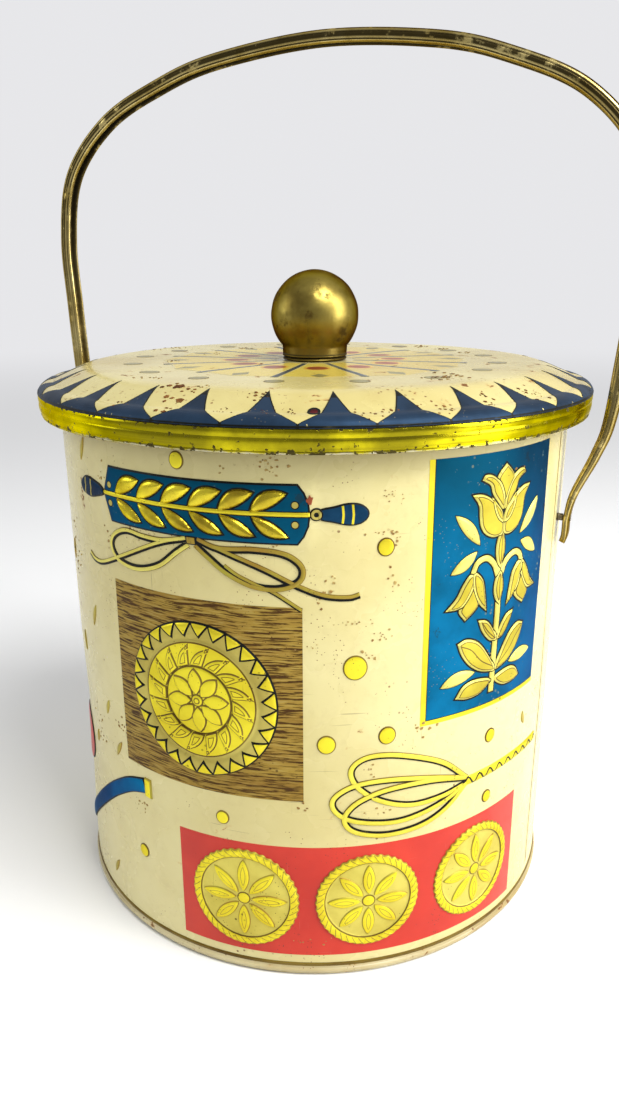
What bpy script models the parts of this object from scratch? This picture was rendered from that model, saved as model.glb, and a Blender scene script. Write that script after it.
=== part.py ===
"""Round tin with a lift-off lid, a ball knob and a swinging bail handle.

Sizes are in millimetres and become metres when a mesh is made.  The tin stands on z = 0 with its
axis on Z.  The handle swings about an axis along X through the two rivets in the wall.
"""
import math

import bmesh
import bpy
from mathutils import Matrix, Vector

MM = 0.001
CLEARANCE = 0.3
SHEET = 0.5

# Body and base
BODY_RADIUS = 82.5
WALL_FOOT = 0.8
BEAD_RADIUS = 1.3
BEAD_HEIGHT = 169.2
SEAM_TOP = 3.5
SEAM_CORNER = 0.4
PANEL_UNDERSIDE = 3.0
BEAD_STEPS = 8

# Lid
PLATEAU_RADIUS = 74.4
PLATEAU_HEIGHT = 175.4
CREASE_RADIUS = 84.5
CREASE_HEIGHT = 171.0
RIM_RADIUS = 89.3
RIM_TOP = 167.4
RIM_BOTTOM = 161.3
HEM_THICKNESS = 1.1
HEM_HEIGHT = 1.3
PLUG_RADIUS = 81.5
PLUG_BOTTOM = 158.3
PLUG_FLANGE_RADIUS = 76.5
# Drop from the shoulder's outside to the collar: one sheet and one clearance, measured on the slope.
PLUG_GAP = 1.1 * (SHEET + CLEARANCE)
SCREW_HOLE_PLAY = 0.1
PLATEAU_BEND = 1.2
ROLL_ANGLES = (58.0, 38.0, 18.0, 0.0)
# The roll starts a little under the crease, which leaves the crease crisp.
ROLL_RISE = 0.92
HEM_CORNER = 0.3

# Knob
BALL_RADIUS = 14.35
BALL_HEIGHT = 189.7
NECK_RADIUS = 10.7
KNOB_SHEET = 0.6
FOOT_RING_THICKNESS = 0.9
SCREW_RADIUS = 1.9
SCREW_HEAD_RADIUS = 4.0
SCREW_HEAD_THICKNESS = 2.2
SCREW_HEAD_CHAMFER = 1.2
SCREW_TIP_CHAMFER = 0.8
SCREW_SLOT_WIDTH = 1.1
SCREW_SLOT_DEPTH = 1.0
BUSH_TOP = 186.0
BUSH_PLAY = 0.5
BUSH_WEB = 1.5
BUSH_CHAMFER = 1.0
NECK_LIP = 0.4
NECK_TAPER = 0.1
FOOT_RING_STEP = 0.2
FOOT_RING_BULGE = 0.15
KNOB_WASHER_RADIUS = 7.0
BALL_STEPS = 12

# Handle
PIVOT_HEIGHT = 130.3
PIVOT_SPAN = 85.3
HANDLE_LEAN = math.radians(2.3)
TAB_THICKNESS = 1.9
TAB_WIDTH = 8.0
STRIP_THICKNESS = 4.2
STRIP_WIDTH = 5.8
TAB_HOOK = 0.9
# The strip grows out of the tab over this stretch above the pivot.
BLEND_START = 3.0
BLEND_LENGTH = 42.0
BLEND_POWER = 0.7
# Depth of the channel on the inside of the strip and of its rolled lips, as shares of the thickness.
CHANNEL_SHARE = 0.45
LIP_SHARE = 0.16
SHANK_RADIUS = 1.15
TENON_RADIUS = 0.8
RIVET_HEAD_RADIUS = 3.2
RIVET_HEAD_THICKNESS = 1.1
RIVET_WASHER_RADIUS = 4.2
PEEN_RADIUS = 1.6
PEEN_THICKNESS = 0.45
CUTTER_REACH = 12.0
# Half of the handle's centre line: distance from the axis, height above the pivot.
ARCH = [(85.3, 0.0), (86.9, 7.8), (92.2, 20.5), (95.3, 32.0), (98.0, 61.9), (99.3, 84.0),
        (95.2, 105.2), (80.3, 121.6), (59.5, 131.4), (37.0, 137.6), (0.0, 141.0)]

RING_SEGMENTS = 72
KNOB_SEGMENTS = 36
SMALL_SEGMENTS = 20


def clear_scene():
    for item in list(bpy.data.objects):
        bpy.data.objects.remove(item, do_unlink=True)


def material(name, color, metallic, roughness):
    mat = bpy.data.materials.new(name)
    mat.use_nodes = True
    shader = mat.node_tree.nodes["Principled BSDF"]
    shader.inputs["Base Color"].default_value = (*color, 1.0)
    shader.inputs["Metallic"].default_value = metallic
    shader.inputs["Roughness"].default_value = roughness
    mat.diffuse_color = (*color, 1.0)
    return mat


def add_object(name, bm, mat, location=(0.0, 0.0, 0.0), smooth_angle=32.0):
    """Turn a bmesh in millimetres into an object whose origin is at location, also in millimetres."""
    bmesh.ops.scale(bm, vec=(MM, MM, MM), verts=bm.verts)
    bmesh.ops.recalc_face_normals(bm, faces=bm.faces)
    mesh = bpy.data.meshes.new(name)
    bm.to_mesh(mesh)
    bm.free()
    mesh.shade_smooth()
    mesh.set_sharp_from_angle(angle=math.radians(smooth_angle))
    mesh.materials.append(mat)
    item = bpy.data.objects.new(name, mesh)
    item.location = Vector(location) * MM
    bpy.context.collection.objects.link(item)
    return item


def turned(outline, segments):
    """Revolve an outline of (radius, height) points about Z.

    An outline whose two ends are on the axis is left open there; any other outline is a closed loop.
    """
    bm = bmesh.new()
    rings = []
    for radius, height in outline:
        if radius == 0.0:
            rings.append([bm.verts.new((0.0, 0.0, height))])
            continue
        ring = []
        for step in range(segments):
            angle = 2.0 * math.pi * step / segments
            ring.append(bm.verts.new((radius * math.cos(angle), radius * math.sin(angle), height)))
        rings.append(ring)
    pairs = list(zip(rings, rings[1:]))
    if len(rings[0]) > 1:
        pairs.append((rings[-1], rings[0]))
    for lower, upper in pairs:
        for step in range(segments):
            after = (step + 1) % segments
            if len(lower) == 1:
                corners = [lower[0], upper[step], upper[after]]
            elif len(upper) == 1:
                corners = [lower[step], upper[0], lower[after]]
            else:
                corners = [lower[step], upper[step], upper[after], lower[after]]
            bm.faces.new(corners)
    return bm


def arc(centre, radius, start, end, steps):
    """Points on a circle from the start to the end angle, in degrees."""
    points = []
    for step in range(steps + 1):
        angle = math.radians(start + (end - start) * step / steps)
        points.append((centre[0] + radius * math.cos(angle), centre[1] + radius * math.sin(angle)))
    return points


def offset_line(points, distance):
    """A copy of an open line moved to its right-hand side, with mitred corners."""
    normals = []
    for (r0, z0), (r1, z1) in zip(points, points[1:]):
        length = math.hypot(r1 - r0, z1 - z0)
        normals.append(Vector(((z1 - z0) / length, -(r1 - r0) / length)))
    moved = []
    for index, point in enumerate(points):
        before = normals[max(index - 1, 0)]
        after = normals[min(index, len(normals) - 1)]
        mitre = (before + after) / (1.0 + before.dot(after))
        moved.append((point[0] + mitre.x * distance, point[1] + mitre.y * distance))
    return moved


def cut(item, cutter):
    """Subtract the cutter from the item with a Boolean modifier."""
    cutter.hide_render = True
    cutter.display_type = "WIRE"
    modifier = item.modifiers.new(cutter.name, "BOOLEAN")
    modifier.operation = "DIFFERENCE"
    modifier.solver = "EXACT"
    modifier.object = cutter


def pin_cutter(name, radius, side):
    """A plain round cutter along the pivot axis, through the wall or the handle on one side."""
    bm = bmesh.new()
    bmesh.ops.create_cone(bm, cap_ends=True, segments=SMALL_SEGMENTS, radius1=radius,
                          radius2=radius, depth=CUTTER_REACH)
    bmesh.ops.rotate(bm, verts=bm.verts, matrix=Matrix.Rotation(math.pi / 2, 3, "Y"))
    place = (side * PIVOT_SPAN, 0.0, PIVOT_HEIGHT)
    return add_object(name, bm, bpy.data.materials["steel"], place)


def body_shell(mat):
    """The rolled wall with its outward bead at the mouth, pierced for the two rivets."""
    inner = BODY_RADIUS - SHEET
    centre = (inner + BEAD_RADIUS, BEAD_HEIGHT)
    meet = math.degrees(math.acos((BODY_RADIUS - centre[0]) / BEAD_RADIUS))
    outline = [(BODY_RADIUS, WALL_FOOT)]
    outline += arc(centre, BEAD_RADIUS, -meet, 180.0, BEAD_STEPS)
    outline.append((inner, WALL_FOOT))
    item = add_object("body_shell", turned(outline, RING_SEGMENTS), mat)
    for label, side in (("left", -1), ("right", 1)):
        cut(item, pin_cutter("wall_hole_" + label, SHANK_RADIUS + CLEARANCE, side))


def base_plate(mat):
    """The bottom end: a raised panel whose folded edge grips the wall's foot and makes the foot ring."""
    hook_inner = BODY_RADIUS + CLEARANCE
    hook_outer = hook_inner + SHEET
    chuck_outer = BODY_RADIUS - SHEET - CLEARANCE
    chuck_inner = chuck_outer - SHEET
    corner = SEAM_CORNER
    outline = [(0.0, PANEL_UNDERSIDE), (chuck_inner - corner, PANEL_UNDERSIDE),
               (chuck_inner, corner), (chuck_inner + corner, 0.0),
               (hook_outer - corner, 0.0), (hook_outer, corner),
               (hook_outer, SEAM_TOP - corner / 2), (hook_inner + corner / 2, SEAM_TOP),
               (hook_inner, SEAM_TOP - corner / 2), (hook_inner, SHEET), (chuck_outer, SHEET),
               (chuck_outer, PANEL_UNDERSIDE + SHEET), (0.0, PANEL_UNDERSIDE + SHEET)]
    add_object("base_plate", turned(outline, RING_SEGMENTS), mat)


def shoulder_height(radius):
    """Height of the lid's upper slope between the plateau and the crease."""
    fall = (PLATEAU_HEIGHT - CREASE_HEIGHT) / (CREASE_RADIUS - PLATEAU_RADIUS)
    return PLATEAU_HEIGHT - fall * (radius - PLATEAU_RADIUS)


def lid_shell(mat):
    """The pressed lid: flat plateau, creased shoulder, rolled rim band and folded hem."""
    hole = SCREW_RADIUS + CLEARANCE + SCREW_HOLE_PLAY
    outer = [(hole, PLATEAU_HEIGHT), (PLATEAU_RADIUS - PLATEAU_BEND, PLATEAU_HEIGHT),
             (PLATEAU_RADIUS + PLATEAU_BEND, shoulder_height(PLATEAU_RADIUS + PLATEAU_BEND)),
             (CREASE_RADIUS, CREASE_HEIGHT)]
    roll = RIM_RADIUS - CREASE_RADIUS
    drop = CREASE_HEIGHT - RIM_TOP
    for angle in ROLL_ANGLES:
        across = math.cos(math.radians(angle))
        up = math.sin(math.radians(angle))
        outer.append((CREASE_RADIUS + roll * across, RIM_TOP + drop * up * ROLL_RISE))
    outer.append((RIM_RADIUS, RIM_BOTTOM + HEM_HEIGHT))
    inner = offset_line(outer, SHEET)
    hem_inner = RIM_RADIUS - HEM_THICKNESS
    hem = [(RIM_RADIUS, RIM_BOTTOM + HEM_CORNER), (RIM_RADIUS - HEM_CORNER, RIM_BOTTOM),
           (hem_inner + HEM_CORNER, RIM_BOTTOM), (hem_inner, RIM_BOTTOM + HEM_CORNER),
           (hem_inner, RIM_BOTTOM + HEM_HEIGHT - HEM_CORNER)]
    add_object("lid_shell", turned(outer + hem + inner[::-1], RING_SEGMENTS), mat)


def lid_plug_ring(mat):
    """The collar under the lid that drops inside the wall, with a flange along the shoulder."""
    top = [(PLUG_RADIUS, PLUG_BOTTOM), (PLUG_RADIUS, shoulder_height(PLUG_RADIUS) - PLUG_GAP),
           (PLUG_FLANGE_RADIUS, shoulder_height(PLUG_FLANGE_RADIUS) - PLUG_GAP)]
    under = offset_line(top, -SHEET)
    add_object("lid_plug_ring", turned(top + under[::-1], RING_SEGMENTS), mat)


def knob_shell(mat):
    """A spun hollow ball that is open at its short neck."""
    shoulder = -math.degrees(math.acos(NECK_RADIUS / BALL_RADIUS))
    foot = PLATEAU_HEIGHT + 2 * CLEARANCE + FOOT_RING_THICKNESS
    outer = arc((0.0, BALL_HEIGHT), BALL_RADIUS, 90.0, shoulder, BALL_STEPS)
    outer[0] = (0.0, BALL_HEIGHT + BALL_RADIUS)
    outer += [(NECK_RADIUS - NECK_TAPER, foot + NECK_LIP), (NECK_RADIUS - NECK_LIP, foot)]
    inner_radius = BALL_RADIUS - KNOB_SHEET
    neck_inner = NECK_RADIUS - KNOB_SHEET
    inner_shoulder = -math.degrees(math.acos(neck_inner / inner_radius))
    inner = arc((0.0, BALL_HEIGHT), inner_radius, 90.0, inner_shoulder, BALL_STEPS)
    inner[0] = (0.0, BALL_HEIGHT + inner_radius)
    inner += [(neck_inner - NECK_TAPER, foot + NECK_LIP), (neck_inner - NECK_LIP, foot)]
    add_object("knob_shell", turned(outer + inner[::-1], KNOB_SEGMENTS), mat)


def knob_foot_ring(mat):
    """The thin brass ring between the ball's neck and the lid."""
    low = PLATEAU_HEIGHT + CLEARANCE
    high = low + FOOT_RING_THICKNESS
    bore = SCREW_RADIUS + CLEARANCE
    edge = NECK_RADIUS - FOOT_RING_STEP
    outline = [(bore, low), (edge, low), (edge + FOOT_RING_BULGE, (low + high) / 2), (edge, high),
               (bore, high)]
    add_object("knob_foot_ring", turned(outline, KNOB_SEGMENTS), mat)


def knob_bush(mat):
    """The threaded plug fixed inside the neck, with a blind bore for the screw."""
    low = PLATEAU_HEIGHT + 2 * CLEARANCE + FOOT_RING_THICKNESS
    radius = NECK_RADIUS - KNOB_SHEET - BUSH_PLAY - CLEARANCE
    bore = SCREW_RADIUS + CLEARANCE
    bore_top = BUSH_TOP - BUSH_WEB
    outline = [(0.0, bore_top), (bore, bore_top), (bore, low), (radius, low),
               (radius, BUSH_TOP - BUSH_CHAMFER), (radius - BUSH_CHAMFER, BUSH_TOP), (0.0, BUSH_TOP)]
    add_object("knob_bush", turned(outline, SMALL_SEGMENTS), mat)


def knob_washer(mat):
    """The flat washer under the lid."""
    high = PLATEAU_HEIGHT - SHEET - CLEARANCE
    low = high - SHEET
    bore = SCREW_RADIUS + CLEARANCE
    outline = [(bore, low), (KNOB_WASHER_RADIUS, low), (KNOB_WASHER_RADIUS, high), (bore, high)]
    add_object("knob_washer", turned(outline, SMALL_SEGMENTS), mat)


def knob_screw(mat):
    """The slotted pan-head screw that comes up through the lid into the bush."""
    seat = PLATEAU_HEIGHT - 2 * SHEET - 2 * CLEARANCE
    base = seat - SCREW_HEAD_THICKNESS
    tip = BUSH_TOP - BUSH_WEB - BUSH_CHAMFER
    outline = [(0.0, base), (SCREW_HEAD_RADIUS - SCREW_HEAD_CHAMFER, base),
               (SCREW_HEAD_RADIUS, base + SCREW_HEAD_CHAMFER), (SCREW_HEAD_RADIUS, seat),
               (SCREW_RADIUS, seat), (SCREW_RADIUS, tip - SCREW_TIP_CHAMFER),
               (SCREW_RADIUS - SCREW_TIP_CHAMFER, tip), (0.0, tip)]
    item = add_object("knob_screw", turned(outline, SMALL_SEGMENTS), mat)
    slot = bmesh.new()
    bmesh.ops.create_cube(slot, size=1.0)
    bmesh.ops.scale(slot, vec=(SCREW_SLOT_WIDTH, CUTTER_REACH, 2 * SCREW_SLOT_DEPTH), verts=slot.verts)
    cut(item, add_object("screw_slot", slot, mat, (0.0, 0.0, base)))


def rivet(side, label, mat):
    """A shouldered rivet: head inside, shank through the wall, tenon peened outside the handle's tab."""
    wall_inner = BODY_RADIUS - SHEET
    washer_inner = wall_inner - 2 * SHEET
    head_seat = washer_inner - CLEARANCE
    tab_inner = PIVOT_SPAN - TAB_THICKNESS / 2
    tab_outer = PIVOT_SPAN + TAB_THICKNESS / 2
    shoulder = tab_inner - CLEARANCE
    peen = tab_outer + CLEARANCE
    head = RIVET_HEAD_THICKNESS
    dome = PEEN_THICKNESS
    outline = [(0.0, head_seat - head), (RIVET_HEAD_RADIUS * 0.6, head_seat - head * 0.9),
               (RIVET_HEAD_RADIUS, head_seat - head * 0.4), (RIVET_HEAD_RADIUS, head_seat),
               (SHANK_RADIUS, head_seat), (SHANK_RADIUS, shoulder), (TENON_RADIUS, shoulder),
               (TENON_RADIUS, peen), (PEEN_RADIUS, peen), (PEEN_RADIUS * 0.8, peen + dome * 0.7),
               (0.0, peen + dome)]
    bm = turned([(r, x - PIVOT_SPAN) for r, x in outline], SMALL_SEGMENTS)
    bmesh.ops.rotate(bm, verts=bm.verts, matrix=Matrix.Rotation(side * math.pi / 2, 3, "Y"))
    add_object("rivet_" + label, bm, mat, (side * PIVOT_SPAN, 0.0, PIVOT_HEIGHT))


def rivet_washer(side, label, mat):
    """The round burr between the rivet's head and the inside of the wall."""
    high = BODY_RADIUS - SHEET - SHEET
    low = high - SHEET
    bore = SHANK_RADIUS + CLEARANCE
    outline = [(bore, low), (RIVET_WASHER_RADIUS, low), (RIVET_WASHER_RADIUS, high), (bore, high)]
    bm = turned([(r, x - PIVOT_SPAN) for r, x in outline], SMALL_SEGMENTS)
    bmesh.ops.rotate(bm, verts=bm.verts, matrix=Matrix.Rotation(side * math.pi / 2, 3, "Y"))
    add_object("rivet_washer_" + label, bm, mat, (side * PIVOT_SPAN, 0.0, PIVOT_HEIGHT))


def smooth_line(points, steps):
    """A Catmull-Rom curve through the points, with a number of steps to each stretch."""
    guide = [2 * points[0] - points[1]] + points + [2 * points[-1] - points[-2]]
    line = []
    for index in range(len(points) - 1):
        p0, p1, p2, p3 = guide[index:index + 4]
        for step in range(steps):
            t = step / steps
            line.append(0.5 * (2 * p1 + (p2 - p0) * t + (2 * p0 - 5 * p1 + 4 * p2 - p3) * t ** 2
                               + (3 * p1 - p0 - 3 * p2 + p3) * t ** 3))
    line.append(points[-1])
    return line


def tab_line():
    """The centre line of the right-hand tab, from its round end up to the pivot."""
    half = TAB_WIDTH / 2
    centre = -half
    line = []
    for angle in (78.0, 55.0, 30.0):
        line.append(centre - half * math.sin(math.radians(angle)))
    line += [centre, centre / 2]
    return [Vector((PIVOT_SPAN - TAB_HOOK * max(0.0, (-w - half) / half) ** 2, w)) for w in line]


def blend(height):
    """0 on the flat tab and 1 on the full rolled strip."""
    t = min(max((height - BLEND_START) / BLEND_LENGTH, 0.0), 1.0)
    return t ** BLEND_POWER


def section(height):
    """The strip's outline as (outward, sideways) points: flat outside, two rolled edges inside."""
    full = blend(height)
    thick = TAB_THICKNESS + (STRIP_THICKNESS - TAB_THICKNESS) * full
    half = (TAB_WIDTH + (STRIP_WIDTH - TAB_WIDTH) * full) / 2
    tab_centre = -TAB_WIDTH / 2
    if height < tab_centre:
        half = math.sqrt(max(half ** 2 - (height - tab_centre) ** 2, 0.3))
    recess = CHANNEL_SHARE * full
    lip = LIP_SHARE * full
    one_side = [(0.48, 0.55), (0.30, 0.93), (0.0, 1.0), (-0.30, 0.95), (-0.50, 0.66),
                (-0.50 + lip, 0.30), (-0.50 + recess, 0.22)]
    outline = [(0.50 * thick, 0.0)]
    outline += [(n * thick, y * half) for n, y in one_side]
    outline.append(((-0.50 + recess) * thick, 0.0))
    outline += [(n * thick, -y * half) for n, y in reversed(one_side)]
    return outline


def handle_bail(mat):
    """The bail: one strip with rolled edges, bent to an arch and flattened at its two pierced tabs."""
    half_arch = [Vector(point) for point in ARCH]
    mirrored = [Vector((-p.x, p.y)) for p in reversed(half_arch[:-1])]
    tab = tab_line()
    line = tab + smooth_line(half_arch + mirrored, 3) + [Vector((-p.x, p.y)) for p in reversed(tab)]
    bm = bmesh.new()
    rings = []
    for index, point in enumerate(line):
        tangent = (line[min(index + 1, len(line) - 1)] - line[max(index - 1, 0)]).normalized()
        outward = Vector((tangent.y, -tangent.x))
        ring = []
        for n, y in section(point.y):
            ring.append(bm.verts.new((point.x + outward.x * n, y, point.y + outward.y * n)))
        rings.append(ring)
    count = len(rings[0])
    for lower, upper in zip(rings, rings[1:]):
        for step in range(count):
            after = (step + 1) % count
            bm.faces.new([lower[step], lower[after], upper[after], upper[step]])
    bm.faces.new(rings[0])
    bm.faces.new(rings[-1])
    item = add_object("handle_bail", bm, mat, (0.0, 0.0, PIVOT_HEIGHT), 50.0)
    item.rotation_euler = (-HANDLE_LEAN, 0.0, 0.0)
    for label, side in (("left", -1), ("right", 1)):
        cut(item, pin_cutter("tab_hole_" + label, TENON_RADIUS + CLEARANCE, side))


def main():
    clear_scene()
    cream = material("cream_lacquer", (0.82, 0.76, 0.55), 0.0, 0.35)
    lid_cream = material("lid_lacquer", (0.80, 0.72, 0.48), 0.0, 0.32)
    tinplate = material("tinplate", (0.62, 0.60, 0.52), 1.0, 0.38)
    steel = material("steel", (0.45, 0.43, 0.38), 1.0, 0.45)
    ball_brass = material("aged_brass", (0.42, 0.31, 0.10), 1.0, 0.28)
    strip_brass = material("tarnished_brass", (0.40, 0.30, 0.12), 1.0, 0.36)
    body_shell(cream)
    base_plate(tinplate)
    lid_shell(lid_cream)
    lid_plug_ring(tinplate)
    knob_shell(ball_brass)
    knob_foot_ring(ball_brass)
    knob_bush(steel)
    knob_washer(steel)
    knob_screw(steel)
    handle_bail(strip_brass)
    for label, side in (("left", -1), ("right", 1)):
        rivet(side, label, steel)
        rivet_washer(side, label, steel)


main()
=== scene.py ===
"""Looks of the round kitchen tin: its worn lacquer, embossed print, gold rim, brass knob and handle.

The pieces' sizes are in millimetres until a mesh is made; the camera, the lights and the materials
are in metres.  Directions round the tin are angles from the front (-Y), positive towards +X, where
the right-hand rivet is at 90 degrees.
"""
import math
import random

import bmesh
import bpy
import numpy as np
from mathutils import Matrix, Vector
from mathutils.geometry import delaunay_2d_cdt


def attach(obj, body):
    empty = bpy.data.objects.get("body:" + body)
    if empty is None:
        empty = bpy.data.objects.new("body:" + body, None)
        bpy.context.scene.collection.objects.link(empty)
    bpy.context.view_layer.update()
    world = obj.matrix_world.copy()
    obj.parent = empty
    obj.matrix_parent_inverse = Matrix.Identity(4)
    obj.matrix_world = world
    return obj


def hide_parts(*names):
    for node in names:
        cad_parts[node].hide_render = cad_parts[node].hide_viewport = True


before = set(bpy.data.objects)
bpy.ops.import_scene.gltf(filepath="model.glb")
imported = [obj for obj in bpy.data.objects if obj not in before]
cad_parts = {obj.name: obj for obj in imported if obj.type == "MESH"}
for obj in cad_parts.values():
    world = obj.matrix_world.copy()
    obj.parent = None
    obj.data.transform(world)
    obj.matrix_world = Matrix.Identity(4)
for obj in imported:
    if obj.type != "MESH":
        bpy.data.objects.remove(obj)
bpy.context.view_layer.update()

MM = 0.001
BODY_RADIUS = 82.5
BEAD_RADIUS = 1.3
BEAD_HEIGHT = 169.2
SHEET = 0.5
PLATEAU_RADIUS = 74.4
PLATEAU_HEIGHT = 175.4
CREASE_RADIUS = 84.5
CREASE_HEIGHT = 171.0
RIM_RADIUS = 89.3
RIM_TOP = 167.4
RIM_BOTTOM = 161.3
BALL_RADIUS = 14.35
BALL_HEIGHT = 189.7
NECK_RADIUS = 10.7
PIVOT_HEIGHT = 130.3
PIVOT_SPAN = 85.3
HANDLE_LEAN = math.radians(2.3)
SEAM_ANGLE = 85.4

# the camera and the room: metres, radians and brightness
FRONT_TURN = 0.408
CAMERA_DISTANCE = 0.30096
CAMERA_HEIGHT = 0.20553
CAMERA_PITCH = 0.3107
CAMERA_YAW = -0.0066
CAMERA_ROLL = -0.0033
SENSOR_HEIGHT = 36.0
LENS = 29.13
TARGET_HEIGHT = 0.11
BACK_LEVEL = 0.80
SIDE_LEVEL = 0.54
FRONT_LEVEL = 0.42

# the print: counts, degrees and heights on the wall
TEETH = 29
TOOTH_PHASE = 26.9
PIN_HEIGHT = 144.8
MEDALLION_HEIGHT = 89.2

# half of the handle's arch: distance from the tin's axis, and height above the pivots
ARCH = [(85.3, 0.0), (86.9, 7.8), (92.2, 20.5), (95.3, 32.0), (98.0, 61.9), (99.2, 84.0),
        (95.2, 105.2), (80.3, 121.6), (59.5, 131.4), (37.0, 137.6), (0.0, 140.95)]

MATERIALS = {}


# ---------------------------------------------------------------- camera, floor and light

def aim_camera():
    """A camera a forearm away, a little above the lid and to the right of the tin's front."""
    data = bpy.data.cameras.new("camera")
    data.sensor_fit = "VERTICAL"
    data.sensor_height = SENSOR_HEIGHT
    data.lens = LENS
    data.clip_start = 0.01
    camera = bpy.data.objects.new("camera", data)
    look = Vector((math.sin(CAMERA_YAW) * math.cos(CAMERA_PITCH),
                   math.cos(CAMERA_YAW) * math.cos(CAMERA_PITCH), -math.sin(CAMERA_PITCH)))
    right = Vector((math.cos(CAMERA_YAW), -math.sin(CAMERA_YAW), 0.0))
    up = right.cross(look)
    tilted_right = right * math.cos(CAMERA_ROLL) + up * math.sin(CAMERA_ROLL)
    tilted_up = up * math.cos(CAMERA_ROLL) - right * math.sin(CAMERA_ROLL)
    axes = Matrix((tilted_right, tilted_up, -look)).transposed()
    spin = Matrix.Rotation(FRONT_TURN, 3, "Z")
    place = spin @ Vector((0.0, -CAMERA_DISTANCE, 0.0))
    place.z = CAMERA_HEIGHT
    camera.matrix_world = Matrix.Translation(place) @ (spin @ axes).to_4x4()
    bpy.context.collection.objects.link(camera)
    bpy.context.scene.camera = camera


def area_light(name, angle, height, distance, size, watts, color=(1.0, 1.0, 1.0)):
    """A soft square light round the tin, aimed at its middle."""
    data = bpy.data.lights.new(name, "AREA")
    data.shape = "RECTANGLE"
    data.size = size[0]
    data.size_y = size[1]
    data.energy = watts
    data.color = color
    light = bpy.data.objects.new(name, data)
    turn = math.radians(angle)
    light.location = (distance * math.sin(turn), -distance * math.cos(turn), height)
    aim = Vector((0.0, 0.0, TARGET_HEIGHT)) - light.location
    light.rotation_euler = aim.to_track_quat("-Z", "Y").to_euler()
    bpy.context.collection.objects.link(light)


def room_level(tree, direction):
    """How bright the room is in a direction: brightest behind the tin, dimmest in front of it."""
    facing = tree.nodes.new("ShaderNodeVectorMath")
    facing.operation = "DOT_PRODUCT"
    facing.inputs[1].default_value = (math.sin(FRONT_TURN), -math.cos(FRONT_TURN), 0.0)
    tree.links.new(direction, facing.inputs[0])
    ramp = tree.nodes.new("ShaderNodeValToRGB")
    ramp.color_ramp.interpolation = "EASE"
    stops = ramp.color_ramp.elements
    stops[0].position = 0.02
    stops[0].color = (BACK_LEVEL, BACK_LEVEL, BACK_LEVEL + 0.02, 1.0)
    stops[1].position = 1.0
    stops[1].color = (FRONT_LEVEL, FRONT_LEVEL, FRONT_LEVEL, 1.0)
    middle = stops.new(0.45)
    middle.color = (SIDE_LEVEL, SIDE_LEVEL, SIDE_LEVEL, 1.0)
    spread = tree.nodes.new("ShaderNodeMath")
    spread.operation = "MULTIPLY_ADD"
    tree.links.new(facing.outputs["Value"], spread.inputs[0])
    spread.inputs[1].default_value = 0.5
    spread.inputs[2].default_value = 0.5
    tree.links.new(spread.outputs["Value"], ramp.inputs["Fac"])
    return ramp.outputs["Color"]


def set_stage():
    """A pale floor that runs into a pale room, dimmer in front, with three soft boxes."""
    bpy.ops.mesh.primitive_circle_add(vertices=96, radius=8.0, fill_type="NGON", location=(0, 0, -0.0002))
    floor = bpy.context.object
    floor.name = "studio_floor"
    graph = Graph("studio_floor")
    place = graph.add("ShaderNodeVectorMath", operation="LENGTH")
    graph.put(place.inputs[0], graph.place)
    way = graph.add("ShaderNodeVectorMath", operation="NORMALIZE")
    graph.put(way.inputs[0], graph.place)
    far = graph.band(place.outputs["Value"], 0.40, 2.2)
    graph.shade(graph.mix(far, (0.88, 0.885, 0.895), (0.0, 0.0, 0.0)), roughness=0.6)
    graph.shader.inputs["Specular IOR Level"].default_value = 0.0
    graph.put(graph.shader.inputs["Emission Color"], room_level(graph.tree, way.outputs["Vector"]))
    graph.put(graph.shader.inputs["Emission Strength"], far)
    floor.data.materials.append(graph.material)
    world = bpy.data.worlds.new("studio")
    world.use_nodes = True
    tree = world.node_tree
    direction = tree.nodes.new("ShaderNodeTexCoord").outputs["Generated"]
    tree.links.new(room_level(tree, direction), tree.nodes["Background"].inputs["Color"])
    bpy.context.scene.world = world
    bpy.context.scene.view_settings.view_transform = "Standard"
    area_light("top_box", 62.0, 0.90, 0.56, (0.40, 0.40), 7.0, (1.0, 0.99, 0.96))
    area_light("right_box", 92.0, 0.40, 0.75, (0.35, 0.60), 5.7, (1.0, 0.99, 0.97))
    area_light("left_box", -62.0, 0.45, 0.80, (0.25, 0.40), 1.0, (0.95, 0.98, 1.0))


# ---------------------------------------------------------------- material graphs

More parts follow.
